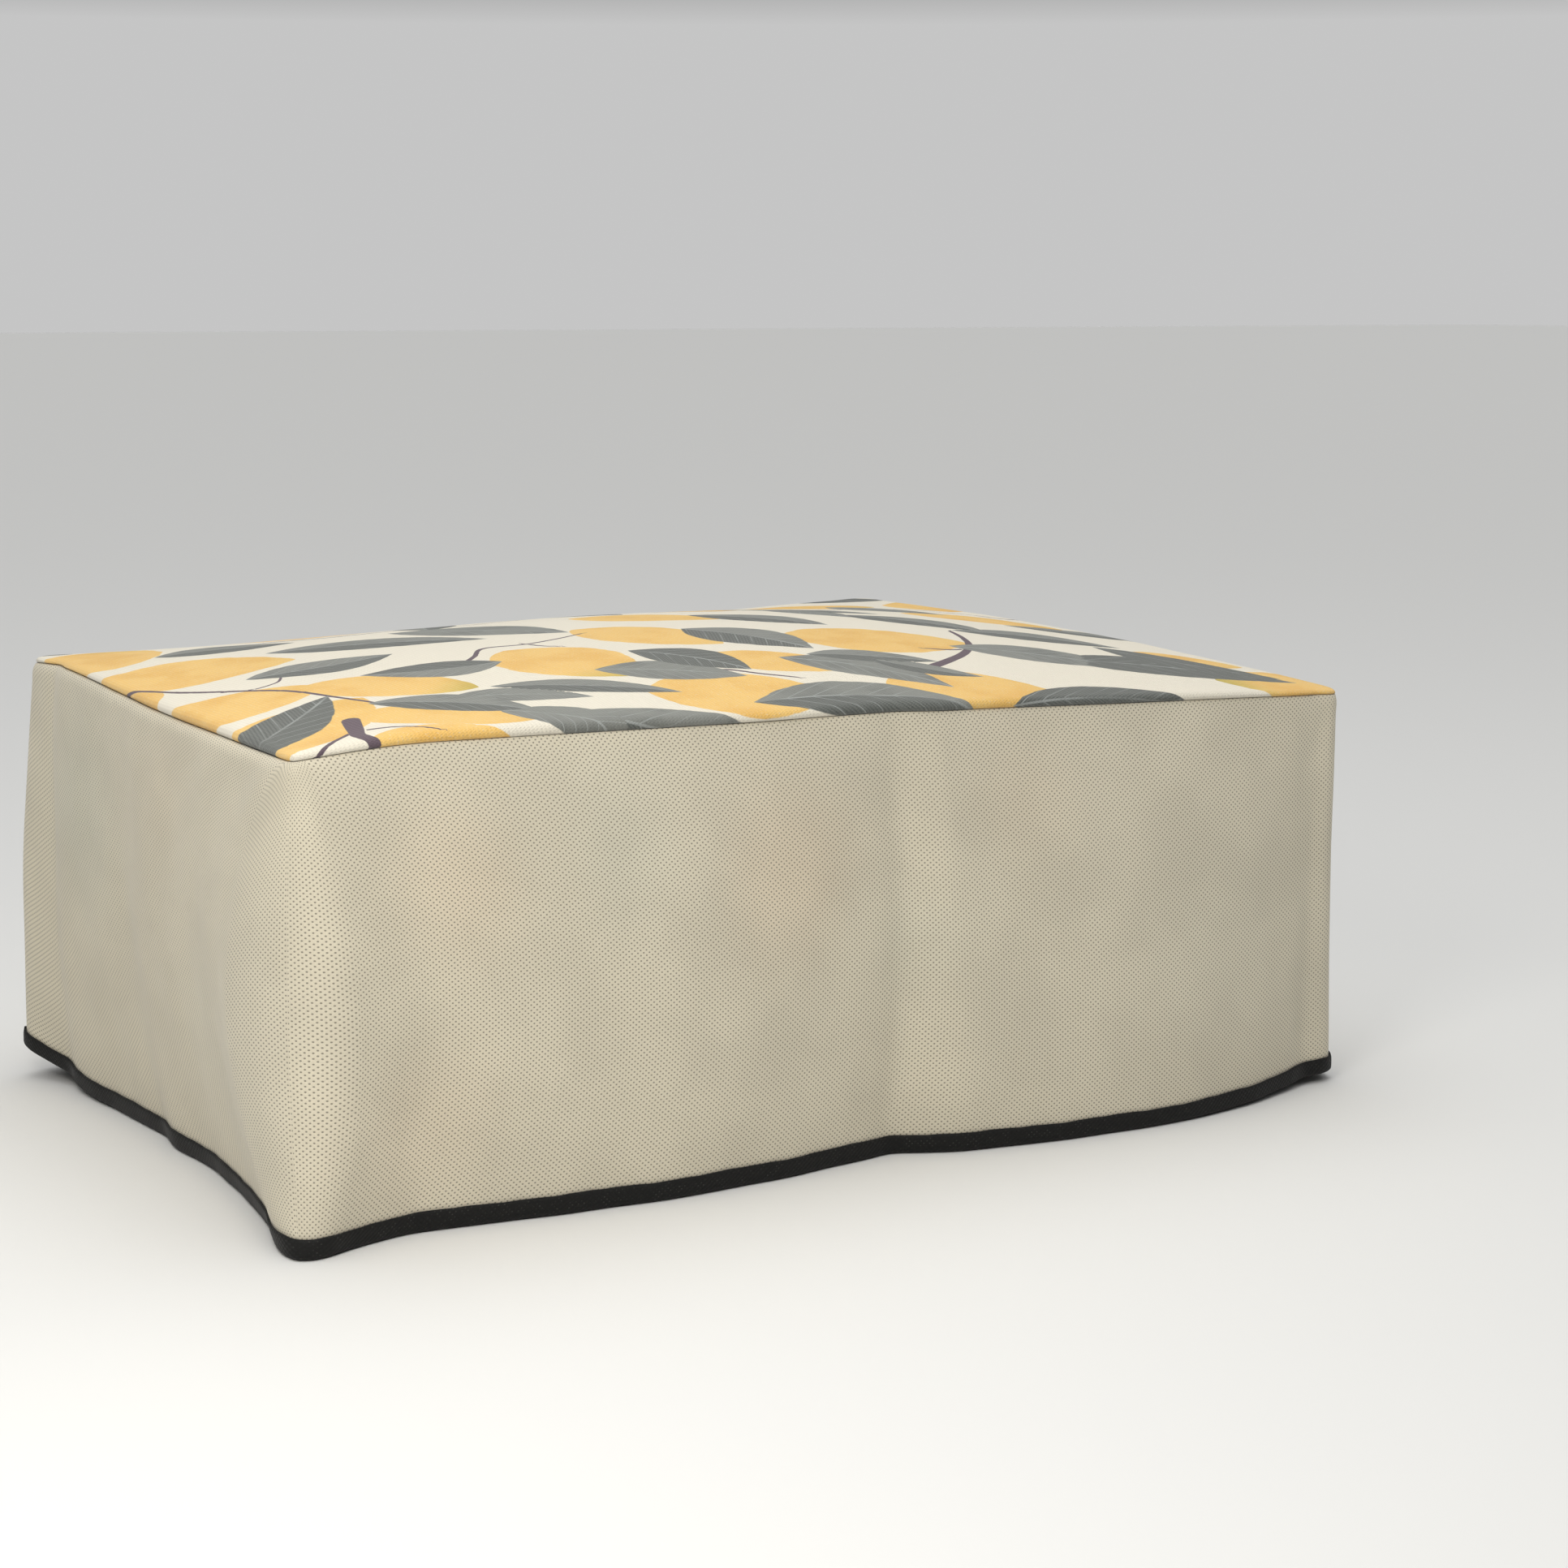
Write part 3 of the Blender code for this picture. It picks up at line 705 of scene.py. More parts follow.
def motif_corners(places, motifs, outline):
    """For each corner of each face, its share, side and tone in the motif that the face shows.

    A face shows the motif that its middle is deepest inside of, and otherwise the nearest one.
    Places are in mm, one row of corners for each face.
    """
    middle = places.mean(axis=1)
    best = np.full(len(middle), np.inf)
    shown = np.zeros(len(middle), int)
    for number, motif in enumerate(motifs):
        share, side = motif_frame(middle, motif)
        half = (1 - np.minimum(np.abs(share), 1) ** outline.power) ** outline.roundness
        half *= 1 - outline.lean * share
        outside = (np.abs(side) - half) * motif.width / 2
        outside = np.maximum(outside, (np.abs(share) - 1) * motif.length / 2)
        shown[outside < best] = number
        best = np.minimum(best, outside)
    found = np.zeros((*places.shape[:2], 3))
    for number, motif in enumerate(motifs):
        mask = shown == number
        share, side = motif_frame(places[mask], motif)
        found[mask] = np.stack((share, side, np.full(share.shape, motif[-1])), axis=-1)
    return found.reshape(-1, 3)


def twig_line(twig):
    """Points of a twig's smooth line about 1 mm apart, its direction there and its half width."""
    knots = np.array(twig.points, float)
    length = length_shares(knots)
    count = int(np.linalg.norm(np.diff(knots, axis=0), axis=1).sum() / TWIG_STEP)
    share = np.linspace(0, 1, count)
    line = np.column_stack([smooth_through(length, knots[:, axis], share) for axis in (0, 1)])
    half = (twig.start_width + (twig.end_width - twig.start_width) * share) / 2
    return line, np.gradient(line, axis=0), half


def twig_corners(places):
    """For each corner of each face: signed distance across the twig that the face is nearest to,
    distance to its line, and its half width there, all in mm."""
    middle = places.mean(axis=1)
    lines, ways, halves = zip(*[twig_line(twig) for twig in TWIGS])
    owner = np.repeat(np.arange(len(TWIGS)), [len(line) for line in lines])
    line, way, half = np.concatenate(lines), np.concatenate(ways), np.concatenate(halves)
    found = np.tile((TWIG_REACH, TWIG_REACH, 0.5), (*places.shape[:2], 1))
    for number, twig in enumerate(TWIGS):
        own = line[owner == number]
        near = ((middle > own.min(axis=0) - 8) & (middle < own.max(axis=0) + 8)).all(axis=1)
        close = np.flatnonzero(near)
        gap = places[close][:, :, None] - own
        away = np.linalg.norm(gap, axis=-1)
        pick = away.argmin(axis=-1)
        distance = away.min(axis=-1)
        picked = np.take_along_axis(gap, pick[..., None, None], axis=2)[:, :, 0]
        heading = way[owner == number][pick]
        side = np.sign(heading[..., 0] * picked[..., 1] - heading[..., 1] * picked[..., 0])
        width = half[owner == number][pick]
        nearer = (distance - width).mean(axis=1) < (found[close, :, 1] - found[close, :, 2]).mean(axis=1)
        found[close[nearer]] = np.stack((side * distance, distance, width), axis=-1)[nearer]
    return found.reshape(-1, 3)


def stain_strengths(lines):
    """Warm or cool stain at each point of the wall: a sum of strength times exp(-d^2)."""
    height = lines[..., 2] / MM
    stain_sum = np.zeros(height.shape)
    for stain in STAINS:
        run = (SEAM.along - stain.along) * SEAM.length
        distance = np.hypot(run, height - stain.height) / stain.radius
        stain_sum += np.where(SEAM.side == stain.side, stain.strength * bell(distance), 0)
    return stain_sum.ravel()


def linear(hex_colour):
    """Linear red, green and blue of an sRGB hex value."""
    parts = [int(hex_colour[index:index + 2], 16) / 255 for index in (1, 3, 5)]
    return tuple(part / 12.92 if part <= 0.04045 else ((part + 0.055) / 1.055) ** 2.4 for part in parts)


# Settings that every mix of two colours and every smooth step share. A mix's inputs are 0 its
# share and 6 and 7 its colours; a step's are 0 its value, 1 and 2 where it starts and ends, and
# 3 and 4 what it gives there, 0 and 1 where they are left out.
COLOUR_MIX = {"output": 2, "data_type": "RGBA"}
SMOOTH_STEP = {"interpolation_type": "SMOOTHSTEP"}


def add(tree, kind, inputs=None, output=0, **settings):
    """Add a shader node with its settings; an input is a value or another node's socket."""
    node = tree.nodes.new("ShaderNode" + kind)
    for name, value in settings.items():
        setattr(node, name, value)
    for name, value in (inputs or {}).items():
        if isinstance(value, bpy.types.NodeSocket):
            tree.links.new(value, node.inputs[name])
        else:
            node.inputs[name].default_value = value
    return node.outputs[output]


class CoverSizes(bpy.types.PropertyGroup):
    """Thicknesses of the sheets and the scale of what is pressed or woven into them."""

    nonwoven_thickness: FloatProperty(
        name="Nonwoven", description="Thickness of the wall's nonwoven",
        default=0.0008, min=0.0003, max=0.002, unit="LENGTH")
    canvas_thickness: FloatProperty(
        name="Canvas", description="Thickness of the printed canvas",
        default=0.0008, min=0.0003, max=0.002, unit="LENGTH")
    band_thickness: FloatProperty(
        name="Band", description="Thickness of the black binding",
        default=0.0008, min=0.0003, max=0.002, unit="LENGTH")
    dimple_run: FloatProperty(
        name="Dimple run", description="Distance between the wall's dimples along a row",
        default=0.0023, min=0.001, max=0.01, unit="LENGTH")
    dimple_rise: FloatProperty(
        name="Dimple rise", description="Height of two staggered rows of dimples",
        default=0.0020, min=0.001, max=0.01, unit="LENGTH")
    rib_run: FloatProperty(
        name="Rib spacing", description="Distance between the canvas's ribs",
        default=0.0016, min=0.0005, max=0.005, unit="LENGTH")
    pick_run: FloatProperty(
        name="Pick spacing", description="Distance between the canvas's cross threads",
        default=0.0011, min=0.0005, max=0.005, unit="LENGTH")


def colour(name, description, hex_colour):
    """An opaque colour property of a cloth."""
    return FloatVectorProperty(name=name, description=description, subtype="COLOR", size=4,
                               min=0, max=1, default=(*linear(hex_colour), 1.0))


class CoverColours(bpy.types.PropertyGroup):
    """Colours of the cloths and of the print."""

    nonwoven: colour("Nonwoven", "Cream beige of the wall", "#D8D0BB")
    nonwoven_warm: colour("Warm stain", "Pinkish patches of the wall", "#DBCBB2")
    nonwoven_cool: colour("Cool stain", "Greenish patches of the wall", "#CBCAB8")
    # Dimple colour: partly the fused bond points' own colour, partly painted shade in the dimples'
    # hollows
    dimple: colour("Dimple", "Bottom of the pressed dimples", "#767061")
    ground: colour("Ground", "Cream ground of the print", "#F2EBD9")
    lemon: colour("Lemon", "Ochre yellow of the lemons", "#F7CC78")
    lemon_deep: colour("Lemon deep", "Darker ochre in the lemons", "#EBB557")
    lemon_tip: colour("Lemon tip", "Olive green of a lemon's tip", "#B5AC40")
    leaf: colour("Leaf", "Light grey of the leaves", "#8B8D87")
    leaf_dark: colour("Leaf dark", "Dark grey of the leaves", "#5E625E")
    vein: colour("Vein", "Pale veins of the leaves", "#A9ADAA")
    twig: colour("Twig", "Mauve brown of the twigs", "#675861")
    # Painted highlight: the paler points are where the binding's bonds catch the light
    band_bond_glint: colour("Band bonds", "Paler points of the binding", "#4A4A46")
    band: colour("Band", "Black of the binding", "#131312")


class CoverLight(bpy.types.PropertyGroup):
    """Studio light."""

    key: FloatProperty(name="Key", description="Power of the front left softbox", default=2.6,
                       min=0, unit="POWER")
    fill: FloatProperty(name="Fill", description="Power of the front softbox", default=0.8,
                        min=0, unit="POWER")
    overhead: FloatProperty(name="Overhead", description="Power of the overhead softbox", default=4.6,
                            min=0, unit="POWER")
    room: FloatProperty(name="Room", description="Brightness of the white studio overhead",
                        default=2.0, min=0)


class CoverSettings(bpy.types.PropertyGroup):
    """All settings of the cover."""

    sizes: PointerProperty(type=CoverSizes)
    colours: PointerProperty(type=CoverColours)
    light: PointerProperty(type=CoverLight)


def cloth_shader(name, roughness, sheen):
    """A matt cloth with a soft bloom of loose fibres. Returns the material and its shader."""
    material = bpy.data.materials.new(name)
    material.use_nodes = True
    shader = material.node_tree.nodes["Principled BSDF"]
    shader.inputs["Roughness"].default_value = roughness
    shader.inputs["Specular IOR Level"].default_value = 0.25
    shader.inputs["Sheen Weight"].default_value = sheen
    shader.inputs["Sheen Roughness"].default_value = 0.5
    return material, shader


def spaced_wave(tree, place, pitch):
    """cos(2 pi place / pitch)."""
    turns = add(tree, "Math", {0: place, 1: TURN / pitch}, operation="MULTIPLY")
    return add(tree, "Math", {0: turns}, operation="COSINE")


def bond_lattice(tree, place, sizes):
    """1 at the middle of each bond point of a nonwoven, in staggered rows, and -1 between them."""
    split = add(tree, "SeparateXYZ", {0: place}).node
    around = spaced_wave(tree, split.outputs[0], sizes.dimple_run)
    up = spaced_wave(tree, split.outputs[1], sizes.dimple_rise)
    return add(tree, "Math", {0: around, 1: up}, operation="MULTIPLY")


def pressed_nonwoven(sizes, colours):
    """Spunbond polypropylene, point bonded between hot rollers.

    Eye: matt cream felt with staggered rows of small dark dimples and loose fibres between; the dimples'
    darkness is partly their own fused colour and partly painted shade in the hollows.
    A fibre of about 0.02 mm is too fine to show, so clumps of 0.5 mm are drawn.
    """
    material, shader = cloth_shader("spunbond polypropylene nonwoven", 0.82, 0.15)
    tree = material.node_tree
    place = add(tree, "UVMap", uv_map="cloth")
    lattice = bond_lattice(tree, place, sizes)
    dimple = add(tree, "MapRange", {0: lattice, 1: 0.35, 2: 0.85}, **SMOOTH_STEP)
    fibre = add(tree, "TexNoise", {"Vector": place, "Scale": 1 / (0.5 * MM), "Detail": 2.0})
    cloud = add(tree, "TexNoise", {"Vector": place, "Scale": 1 / (40 * MM), "Detail": 2.0})
    stain = add(tree, "Attribute", attribute_name="stain", output=2)
    warm = add(tree, "MapRange", {0: stain, 1: 0.0, 2: 1.0, 3: 0.0, 4: 0.6}, **SMOOTH_STEP)
    cool = add(tree, "MapRange", {0: stain, 1: 0.0, 2: -1.0, 3: 0.0, 4: 0.6}, **SMOOTH_STEP)
    felt = add(tree, "Mix", {0: warm, 6: colours.nonwoven, 7: colours.nonwoven_warm}, **COLOUR_MIX)
    felt = add(tree, "Mix", {0: cool, 6: felt, 7: colours.nonwoven_cool}, **COLOUR_MIX)
    clouded = add(tree, "MapRange", {0: cloud, 1: 0.3, 2: 0.7, 3: 0.95, 4: 1.03}, **SMOOTH_STEP)
    fibred = add(tree, "MapRange", {0: fibre, 1: 0.3, 2: 0.7, 3: 0.95, 4: 1.04}, **SMOOTH_STEP)
    shade = add(tree, "Math", {0: clouded, 1: fibred}, operation="MULTIPLY")
    felt = add(tree, "Mix", {0: 1.0, 6: felt, 7: shade}, blend_type="MULTIPLY", **COLOUR_MIX)
    # The dimples are mixed towards the dark dimple colour: partly their own fused colour, partly painted
    # shade in the hollows
    depth = add(tree, "Math", {0: dimple, 1: 0.85}, operation="MULTIPLY")
    felt = add(tree, "Mix", {0: depth, 6: felt, 7: colours.dimple}, **COLOUR_MIX)
    tree.links.new(felt, shader.inputs["Base Color"])
    pillow = add(tree, "Math", {0: lattice, 1: -0.5}, operation="MULTIPLY")
    relief = add(tree, "Math", {0: fibre, 1: 0.35, 2: pillow}, operation="MULTIPLY_ADD")
    bump = add(tree, "Bump", {"Strength": 0.6, "Distance": 0.12 * MM, "Height": relief})
    tree.links.new(bump, shader.inputs["Normal"])
    return material


def motif_mask(tree, share, side, outline, wobble, softness):
    """1 inside a motif and 0 outside it, with a slightly uneven edge, for the outline's formula."""
    reach = add(tree, "Math", {0: share}, operation="ABSOLUTE")
    reach = add(tree, "Math", {0: reach, 1: 1.0}, operation="MINIMUM")
    reach = add(tree, "Math", {0: reach, 1: outline.power}, operation="POWER")
    reach = add(tree, "Math", {0: 1.0, 1: reach}, operation="SUBTRACT")
    half = add(tree, "Math", {0: reach, 1: outline.roundness}, operation="POWER")
    lean = add(tree, "Math", {0: share, 1: -outline.lean, 2: 1.0}, operation="MULTIPLY_ADD")
    half = add(tree, "Math", {0: half, 1: lean}, operation="MULTIPLY")
    away = add(tree, "Math", {0: side}, operation="ABSOLUTE")
    room = add(tree, "Math", {0: half, 1: away}, operation="SUBTRACT")
    room = add(tree, "Math", {0: wobble, 1: 0.12, 2: room}, operation="MULTIPLY_ADD")
    return add(tree, "MapRange", {0: room, 1: 0.10 - softness, 2: 0.10 + softness}, **SMOOTH_STEP)


def leaf_layer(tree, colours, ground, name, wobble, wash):
    """The ground with one layer of leaves printed on it.

    A leaf has a pale midrib and side veins; a toned leaf has one half in fine dark hatching.
    """
    leaf = add(tree, "SeparateXYZ", {0: add(tree, "Attribute", attribute_name=name, output=1)}).node
    mask = motif_mask(tree, leaf.outputs[0], leaf.outputs[1], LEAF_OUTLINE, wobble, 0.02)
    away = add(tree, "Math", {0: leaf.outputs[1]}, operation="ABSOLUTE")
    slant = add(tree, "Math", {0: away, 1: -0.5, 2: leaf.outputs[0]}, operation="MULTIPLY_ADD")
    threads = spaced_wave(tree, slant, HATCH_PITCH)
    hatch = add(tree, "MapRange", {0: threads, 1: -0.3, 2: 0.6}, **SMOOTH_STEP)
    lower = add(tree, "MapRange", {0: leaf.outputs[1], 1: 0.02, 2: -0.02}, **SMOOTH_STEP)
    toned = add(tree, "MapRange", {0: leaf.outputs[2], 1: 0.4, 2: 0.6}, **SMOOTH_STEP)
    dark = add(tree, "MapRange", {0: leaf.outputs[2], 1: 1.4, 2: 1.6}, **SMOOTH_STEP)
    hatched = add(tree, "Math", {0: lower, 1: toned}, operation="MULTIPLY")
    hatched = add(tree, "Math", {0: hatched, 1: dark}, operation="MAXIMUM")
    thread = add(tree, "Math", {0: hatch, 1: 0.35, 2: 0.60}, operation="MULTIPLY_ADD")
    hatched = add(tree, "Math", {0: hatched, 1: thread}, operation="MULTIPLY")
    ink = add(tree, "Mix", {0: hatched, 6: colours.leaf, 7: colours.leaf_dark}, **COLOUR_MIX)
    pooled = add(tree, "MapRange", {0: wash, 1: 0.45, 2: 0.7, 3: 0.0, 4: 0.35}, **SMOOTH_STEP)
    ink = add(tree, "Mix", {0: pooled, 6: ink, 7: colours.leaf_dark}, **COLOUR_MIX)
    rib = add(tree, "MapRange", {0: away, 1: 0.05, 2: 0.02}, **SMOOTH_STEP)
    branches = spaced_wave(tree, slant, SIDE_VEIN_PITCH)
    side_vein = add(tree, "MapRange", {0: branches, 1: 0.95, 2: 0.985, 3: 0.0, 4: 0.8}, **SMOOTH_STEP)
    vein = add(tree, "Math", {0: rib, 1: side_vein}, operation="MAXIMUM")
    worn = add(tree, "MapRange", {0: wash, 1: 0.35, 2: 0.6, 3: 0.2, 4: 0.8}, **SMOOTH_STEP)
    vein = add(tree, "Math", {0: vein, 1: worn}, operation="MULTIPLY")
    ink = add(tree, "Mix", {0: vein, 6: ink, 7: colours.vein}, **COLOUR_MIX)
    return add(tree, "Mix", {0: mask, 6: ground, 7: ink}, **COLOUR_MIX)


def printed_canvas(sizes, colours):
    """Polyester canvas, plain woven with a heavy warp and printed with lemons on their twigs.

    Eye: flat matt inks that follow the ribs, grainy lemons, and leaves with one hatched half, with
    painted shade between the ribs and down the turned rim.
    Threads of about 0.5 mm are too fine to show, so ribs of 1.6 mm and picks of 1.1 mm are drawn.
    """
    material, shader = cloth_shader("printed polyester canvas", 0.85, 0.2)
    tree = material.node_tree
    place = add(tree, "UVMap", uv_map="cloth")
    split = add(tree, "SeparateXYZ", {0: place}).node
    wobble = add(tree, "TexNoise", {"Vector": place, "Scale": 1 / (9 * MM), "Detail": 2.0})
    grain = add(tree, "TexNoise", {"Vector": place, "Scale": 1 / (0.9 * MM), "Detail": 2.0})
    wash = add(tree, "TexNoise", {"Vector": place, "Scale": 1 / (24 * MM), "Detail": 3.0})

    lemon = add(tree, "SeparateXYZ", {0: add(tree, "Attribute", attribute_name="lemon", output=1)}).node
    lemon_mask = motif_mask(tree, lemon.outputs[0], lemon.outputs[1], LEMON_OUTLINE, wobble, 0.015)
    pooled = add(tree, "MapRange", {0: wash, 1: 0.42, 2: 0.68, 3: 0.0, 4: 0.55}, **SMOOTH_STEP)
    lemon_ink = add(tree, "Mix", {0: pooled, 6: colours.lemon, 7: colours.lemon_deep}, **COLOUR_MIX)
    pale = add(tree, "MapRange", {0: grain, 1: 0.56, 2: 0.74, 3: 0.0, 4: 0.4}, **SMOOTH_STEP)
    lemon_ink = add(tree, "Mix", {0: pale, 6: lemon_ink, 7: colours.ground}, **COLOUR_MIX)
    tip = add(tree, "MapRange", {0: lemon.outputs[0], 1: 0.35, 2: 1.1, 3: 0.0, 4: 0.8}, **SMOOTH_STEP)
    tip = add(tree, "Math", {0: tip, 1: lemon.outputs[2]}, operation="MULTIPLY")
    lemon_ink = add(tree, "Mix", {0: tip, 6: lemon_ink, 7: colours.lemon_tip}, **COLOUR_MIX)

    twig = add(tree, "SeparateXYZ", {0: add(tree, "Attribute", attribute_name="twig", output=1)}).node
    across = add(tree, "Math", {0: twig.outputs[0]}, operation="ABSOLUTE")
    bare = add(tree, "Math", {0: across, 1: twig.outputs[2]}, operation="SUBTRACT")
    near = add(tree, "MapRange", {0: twig.outputs[1], 1: 4.0, 2: 3.0}, **SMOOTH_STEP)
    twig_mask = add(tree, "MapRange", {0: bare, 1: 0.2, 2: -0.1}, **SMOOTH_STEP)
    twig_mask = add(tree, "Math", {0: twig_mask, 1: near}, operation="MULTIPLY")

    ink = add(tree, "Mix", {0: lemon_mask, 6: colours.ground, 7: lemon_ink}, **COLOUR_MIX)
    ink = add(tree, "Mix", {0: twig_mask, 6: ink, 7: colours.twig}, **COLOUR_MIX)
    for layer in ("leaf", "leaf over"):
        ink = leaf_layer(tree, colours, ink, layer, wobble, wash)

    ribs = spaced_wave(tree, split.outputs[0], sizes.rib_run)
    picks = spaced_wave(tree, split.outputs[1], sizes.pick_run)
    weave = add(tree, "Math", {0: ribs, 1: picks}, operation="MULTIPLY")
    weave = add(tree, "Math", {0: ribs, 1: 0.5, 2: weave}, operation="MULTIPLY_ADD")
    # Painted shade: the canvas's colour is darker between the ribs and picks, as shade in the weave's
    # hollows
    shade = add(tree, "MapRange", {0: weave, 1: -1.2, 2: 0.6, 3: 0.90, 4: 1.02}, **SMOOTH_STEP)
    # Painted shade: the colour darkens by up to a fifth towards the rim's sewn edge, where the canvas
    # turns down over the seam
    rim = add(tree, "Attribute", attribute_name="rim", output=2)
    rim_shade = add(tree, "MapRange", {0: rim, 1: 0.1, 2: 0.8, 3: 1.0, 4: 0.8}, **SMOOTH_STEP)
    shade = add(tree, "Math", {0: shade, 1: rim_shade}, operation="MULTIPLY")
    ink = add(tree, "Mix", {0: 1.0, 6: ink, 7: shade}, blend_type="MULTIPLY", **COLOUR_MIX)
    tree.links.new(ink, shader.inputs["Base Color"])
    relief = add(tree, "Math", {0: grain, 1: 0.5, 2: weave}, operation="MULTIPLY_ADD")
    bump = add(tree, "Bump", {"Strength": 0.6, "Distance": 0.15 * MM, "Height": relief})
    tree.links.new(bump, shader.inputs["Normal"])
    return material


def black_binding(sizes, colours):
    """Black spunbond tape, point bonded as the wall is, folded and sewn over the hem.

    Eye: matt black with faint paler points where the bonds catch the light.
    """
    material, shader = cloth_shader("black spunbond tape", 0.7, 0.05)
    tree = material.node_tree
    place = add(tree, "UVMap", uv_map="cloth")
    lattice = bond_lattice(tree, place, sizes)
    patchy = add(tree, "TexNoise", {"Vector": place, "Scale": 1 / (4 * MM), "Detail": 3.0})
    # Painted highlight: patches of the bond points are mixed towards the paler glint colour
    bond = add(tree, "MapRange", {0: lattice, 1: 0.5, 2: 0.9}, **SMOOTH_STEP)
    shown = add(tree, "MapRange", {0: patchy, 1: 0.45, 2: 0.7, 3: 0.0, 4: 0.6}, **SMOOTH_STEP)
    bond = add(tree, "Math", {0: bond, 1: shown}, operation="MULTIPLY")
    black = add(tree, "Mix", {0: bond, 6: colours.band, 7: colours.band_bond_glint}, **COLOUR_MIX)
    tree.links.new(black, shader.inputs["Base Color"])
    relief = add(tree, "Math", {0: patchy, 1: 1.5, 2: lattice}, operation="MULTIPLY_ADD")
    bump = add(tree, "Bump", {"Strength": 0.5, "Distance": 0.15 * MM, "Height": relief})
    tree.links.new(bump, shader.inputs["Normal"])
    return material


def cloth_object(name, points, faces, corners, material, thickness):
    """A sheet seen from outside, with its flat places as a UV map and its thickness inwards."""
    mesh = bpy.data.meshes.new(name)
    placed = points.reshape(-1, 3) + (0.0, 0.0, HEM_LEVEL)
    mesh.from_pydata(placed.tolist(), [], faces.tolist())
    layer = mesh.uv_layers.new(name="cloth")
    layer.data.foreach_set("uv", corners.astype(np.float32).ravel())
    mesh.materials.append(material)
    mesh.shade_smooth()
    sheet = bpy.data.objects.new(name, mesh)
    bpy.context.scene.collection.objects.link(sheet)
    solid = sheet.modifiers.new("cloth thickness", "SOLIDIFY")
    solid.thickness = thickness
    solid.offset = -1.0
    solid.use_even_offset = True
    return sheet


def set_attribute(piece, name, kind, domain, values):
    """Values for the points or face corners of the piece's mesh: FLOAT, or FLOAT_VECTOR for three."""
    attribute = piece.data.attributes.new(name, kind, domain)
    key = "value" if kind == "FLOAT" else "vector"
    attribute.data.foreach_set(key, np.asarray(values, np.float32).ravel())


def take_over(piece, node):
    """The piece is attached to the body and stands for its solid, which is hidden."""
    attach(piece, BODY)
    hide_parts(node)


class CoverOperator(bpy.types.Operator):
    """Adds a part of the printer cover"""

    bl_options = {"REGISTER", "UNDO"}


class AddWall(CoverOperator):
    """Adds the strip of nonwoven that goes round all four sides"""

    bl_idname = "printer_cover.add_wall"
    bl_label = "Add wall"

    def execute(self, context):
        settings = context.scene.printer_cover
        lines = wall_surface()
        material = pressed_nonwoven(settings.sizes, settings.colours)
        wall = cloth_object("wall_cloth", lines, closed_faces(len(lines)),
                            face_corners(cloth_places(lines)), material,
                            settings.sizes.nonwoven_thickness)
        set_attribute(wall, "stain", "FLOAT", "POINT", stain_strengths(lines))
        take_over(wall, "wall_strip")
        return {"FINISHED"}


class AddTopPanel(CoverOperator):
    """Adds the printed top with its turned rim"""

    bl_idname = "printer_cover.add_top_panel"
    bl_label = "Add top panel"

    def execute(self, context):
        settings = context.scene.printer_cover
        rim = rim_surface()
        field = crowned_field(rim[-1])
        rows, columns = field.shape[:2]
        numbers = field_numbers(rows, columns, (RIM_LINES - 1) * COLUMNS, RIM_LINES * COLUMNS)
        points = np.vstack((rim.reshape(-1, 3), field[1:-1, 1:-1].reshape(-1, 3)))
        faces = np.vstack((closed_faces(RIM_LINES), grid_faces(numbers)))
        places = flat_places(rim, field)
        material = printed_canvas(settings.sizes, settings.colours)
        panel = cloth_object("top_cloth", points, faces, places[faces.ravel()], material,
                             settings.sizes.canvas_thickness)
        corners = places[faces] / MM
        print_parts = {"lemon": motif_corners(corners, LEMONS, LEMON_OUTLINE),
                       "leaf": motif_corners(corners, LEAVES, LEAF_OUTLINE),
                       "leaf over": motif_corners(corners, LEAVES_OVER, LEAF_OUTLINE),
                       "twig": twig_corners(corners)}
        for name, values in print_parts.items():
            set_attribute(panel, name, "FLOAT_VECTOR", "CORNER", values)
        # How far each point is down the turned rim, 1 at the sewn edge; the canvas paints shade from it
        turned = np.repeat(1 - np.linspace(0, 1, RIM_LINES), COLUMNS)
        turned = np.concatenate((turned, np.zeros(len(points) - len(turned))))
        set_attribute(panel, "rim", "FLOAT", "POINT", turned)
        take_over(panel, "top_panel")
        return {"FINISHED"}


class AddHemBinding(CoverOperator):
    """Adds the black band folded over the hem"""

    bl_idname = "printer_cover.add_hem_binding"
    bl_label = "Add hem binding"

    def execute(self, context):
        settings = context.scene.printer_cover
        lines = band_surface()
        material = black_binding(settings.sizes, settings.colours)
        band = cloth_object("hem_band", lines, closed_faces(len(lines)),
                            face_corners(cloth_places(lines)), material,
                            settings.sizes.band_thickness)
        take_over(band, "hem_binding")
        return {"FINISHED"}


# Camera: where it stands, where it looks and how long its lens is
CAMERA_PLACE = (-0.6013, -1.0724, 0.1349)
CAMERA_HEADING = 31.69        # degrees to the right of +Y
CAMERA_DIP = 9.33             # degrees below the horizon
CAMERA_LENS = 67.47           # mm, on a sensor 36 mm wide
FLOOR_HALF = 30.0


def add_light(name, place, aim, size, power, tint):
    """A square soft light at a place, turned to aim at another."""
    data = bpy.data.lights.new(name, "AREA")
    data.shape = "RECTANGLE"
    data.size, data.size_y = size
    data.energy = power
    data.color = linear(tint)
    light = bpy.data.objects.new(name, data)
    bpy.context.scene.collection.objects.link(light)
    light.visible_camera = False
    way = np.array(aim) - np.array(place)
    light.location = place
    tilt = math.atan2(math.hypot(way[0], way[1]), -way[2])
    light.rotation_euler = (tilt, 0, math.atan2(-way[0], way[1]))


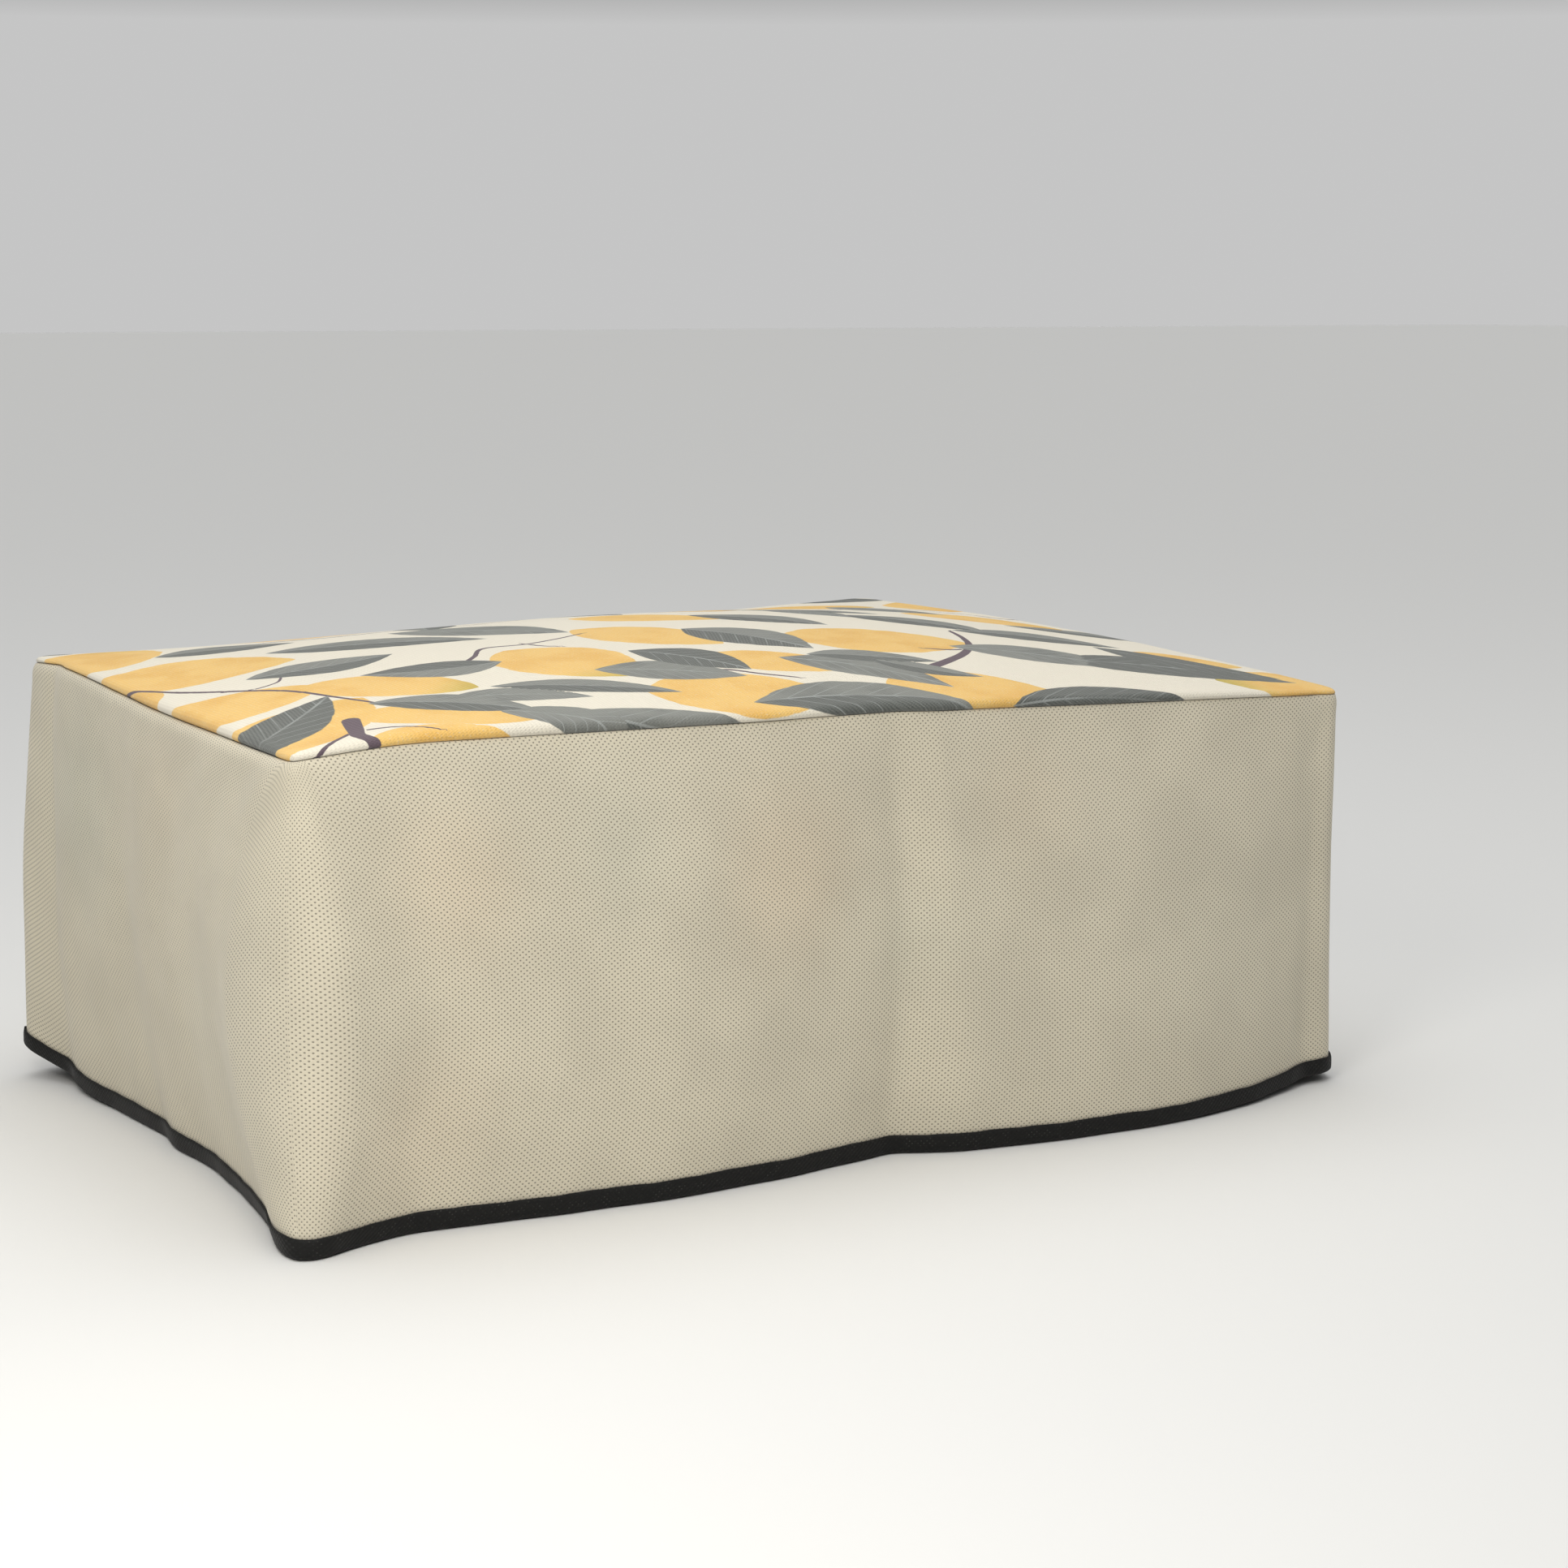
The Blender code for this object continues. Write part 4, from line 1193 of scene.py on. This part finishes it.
def studio_room(brightness):
    """White room by the height of each direction: a pale horizon, dim walls and a bright ceiling."""
    world = bpy.data.worlds.new("white studio room")
    world.use_nodes = True
    tree = world.node_tree
    direction = add(tree, "TexCoord", output=0)
    height = add(tree, "SeparateXYZ", {0: direction}, output=2)
    shade = add(tree, "ValToRGB", {0: height})
    ramp = shade.node.color_ramp
    ramp.elements[0].position, ramp.elements[1].position = 0.09, 1.0
    for place in (0.13, 0.6):
        ramp.elements.new(place)
    for element, level in zip(ramp.elements, (0.28, 0.03, 0.10, 0.85)):
        element.color = (level, level, level, 1)
    backdrop = tree.nodes["Background"]
    tree.links.new(shade, backdrop.inputs["Color"])
    backdrop.inputs["Strength"].default_value = brightness
    return world


class AddStage(CoverOperator):
    """Adds the camera, the floor and the studio light"""

    bl_idname = "printer_cover.add_stage"
    bl_label = "Add stage"

    def execute(self, context):
        light = context.scene.printer_cover.light
        data = bpy.data.cameras.new("photo view")
        data.lens = CAMERA_LENS
        data.sensor_width = 36.0
        data.clip_end = 100.0
        camera = bpy.data.objects.new("photo view", data)
        context.scene.collection.objects.link(camera)
        camera.location = CAMERA_PLACE
        camera.rotation_euler = (math.radians(90 - CAMERA_DIP), 0, math.radians(-CAMERA_HEADING))
        context.scene.camera = camera

        mesh = bpy.data.meshes.new("floor")
        reach = FLOOR_HALF
        level = HEM_LEVEL - 0.3 * MM
        mesh.from_pydata([(-reach, -reach, level), (reach, -reach, level), (reach, reach, level),
                          (-reach, reach, level)], [], [(0, 1, 2, 3)])
        floor = bpy.data.objects.new("floor", mesh)
        context.scene.collection.objects.link(floor)
        paper = bpy.data.materials.new("white paper floor")
        paper.use_nodes = True
        shader = paper.node_tree.nodes["Principled BSDF"]
        shader.inputs["Base Color"].default_value = (*linear("#E4E4E2"), 1)
        shader.inputs["Roughness"].default_value = 0.9
        mesh.materials.append(paper)

        context.scene.world = studio_room(light.room)
        context.scene.view_settings.view_transform = "Standard"
        add_light("front left softbox", (-0.55, -0.56, 0.32), (-0.21, -0.13, -0.03), (0.30, 0.30),
                  light.key, "#FFFBF4")
        add_light("overhead softbox", (0.1, 0.1, 1.5), (0.0, 0.0, 0.0), (1.4, 1.2), light.overhead,
                  "#FFFFFF")
        add_light("front softbox", (-0.1, -1.3, 1.0), (0.0, 0.0, -0.05), (0.9, 0.6), light.fill,
                  "#FFFFFF")
        return {"FINISHED"}


PARTS = (AddStage, AddWall, AddTopPanel, AddHemBinding)


class CoverPanel(bpy.types.Panel):
    """Lists the parts of the printer cover and its settings"""

    bl_idname = "VIEW3D_PT_printer_cover"
    bl_label = "Printer cover"
    bl_space_type = "VIEW_3D"
    bl_region_type = "UI"
    bl_category = "Printer cover"

    def draw(self, context):
        settings = context.scene.printer_cover
        for part in PARTS:
            self.layout.operator(part.bl_idname)
        for group in (settings.sizes, settings.colours, settings.light):
            box = self.layout.box()
            for name in group.__annotations__:
                box.prop(group, name)


CLASSES = (CoverSizes, CoverColours, CoverLight, CoverSettings, *PARTS, CoverPanel)


def register():
    for cls in CLASSES:
        bpy.utils.register_class(cls)
    bpy.types.Scene.printer_cover = PointerProperty(type=CoverSettings)


def unregister():
    del bpy.types.Scene.printer_cover
    for cls in reversed(CLASSES):
        bpy.utils.unregister_class(cls)


def main():
    register()
    bpy.ops.printer_cover.add_stage()
    bpy.ops.printer_cover.add_wall()
    bpy.ops.printer_cover.add_top_panel()
    bpy.ops.printer_cover.add_hem_binding()


if __name__ == "__main__":
    main()
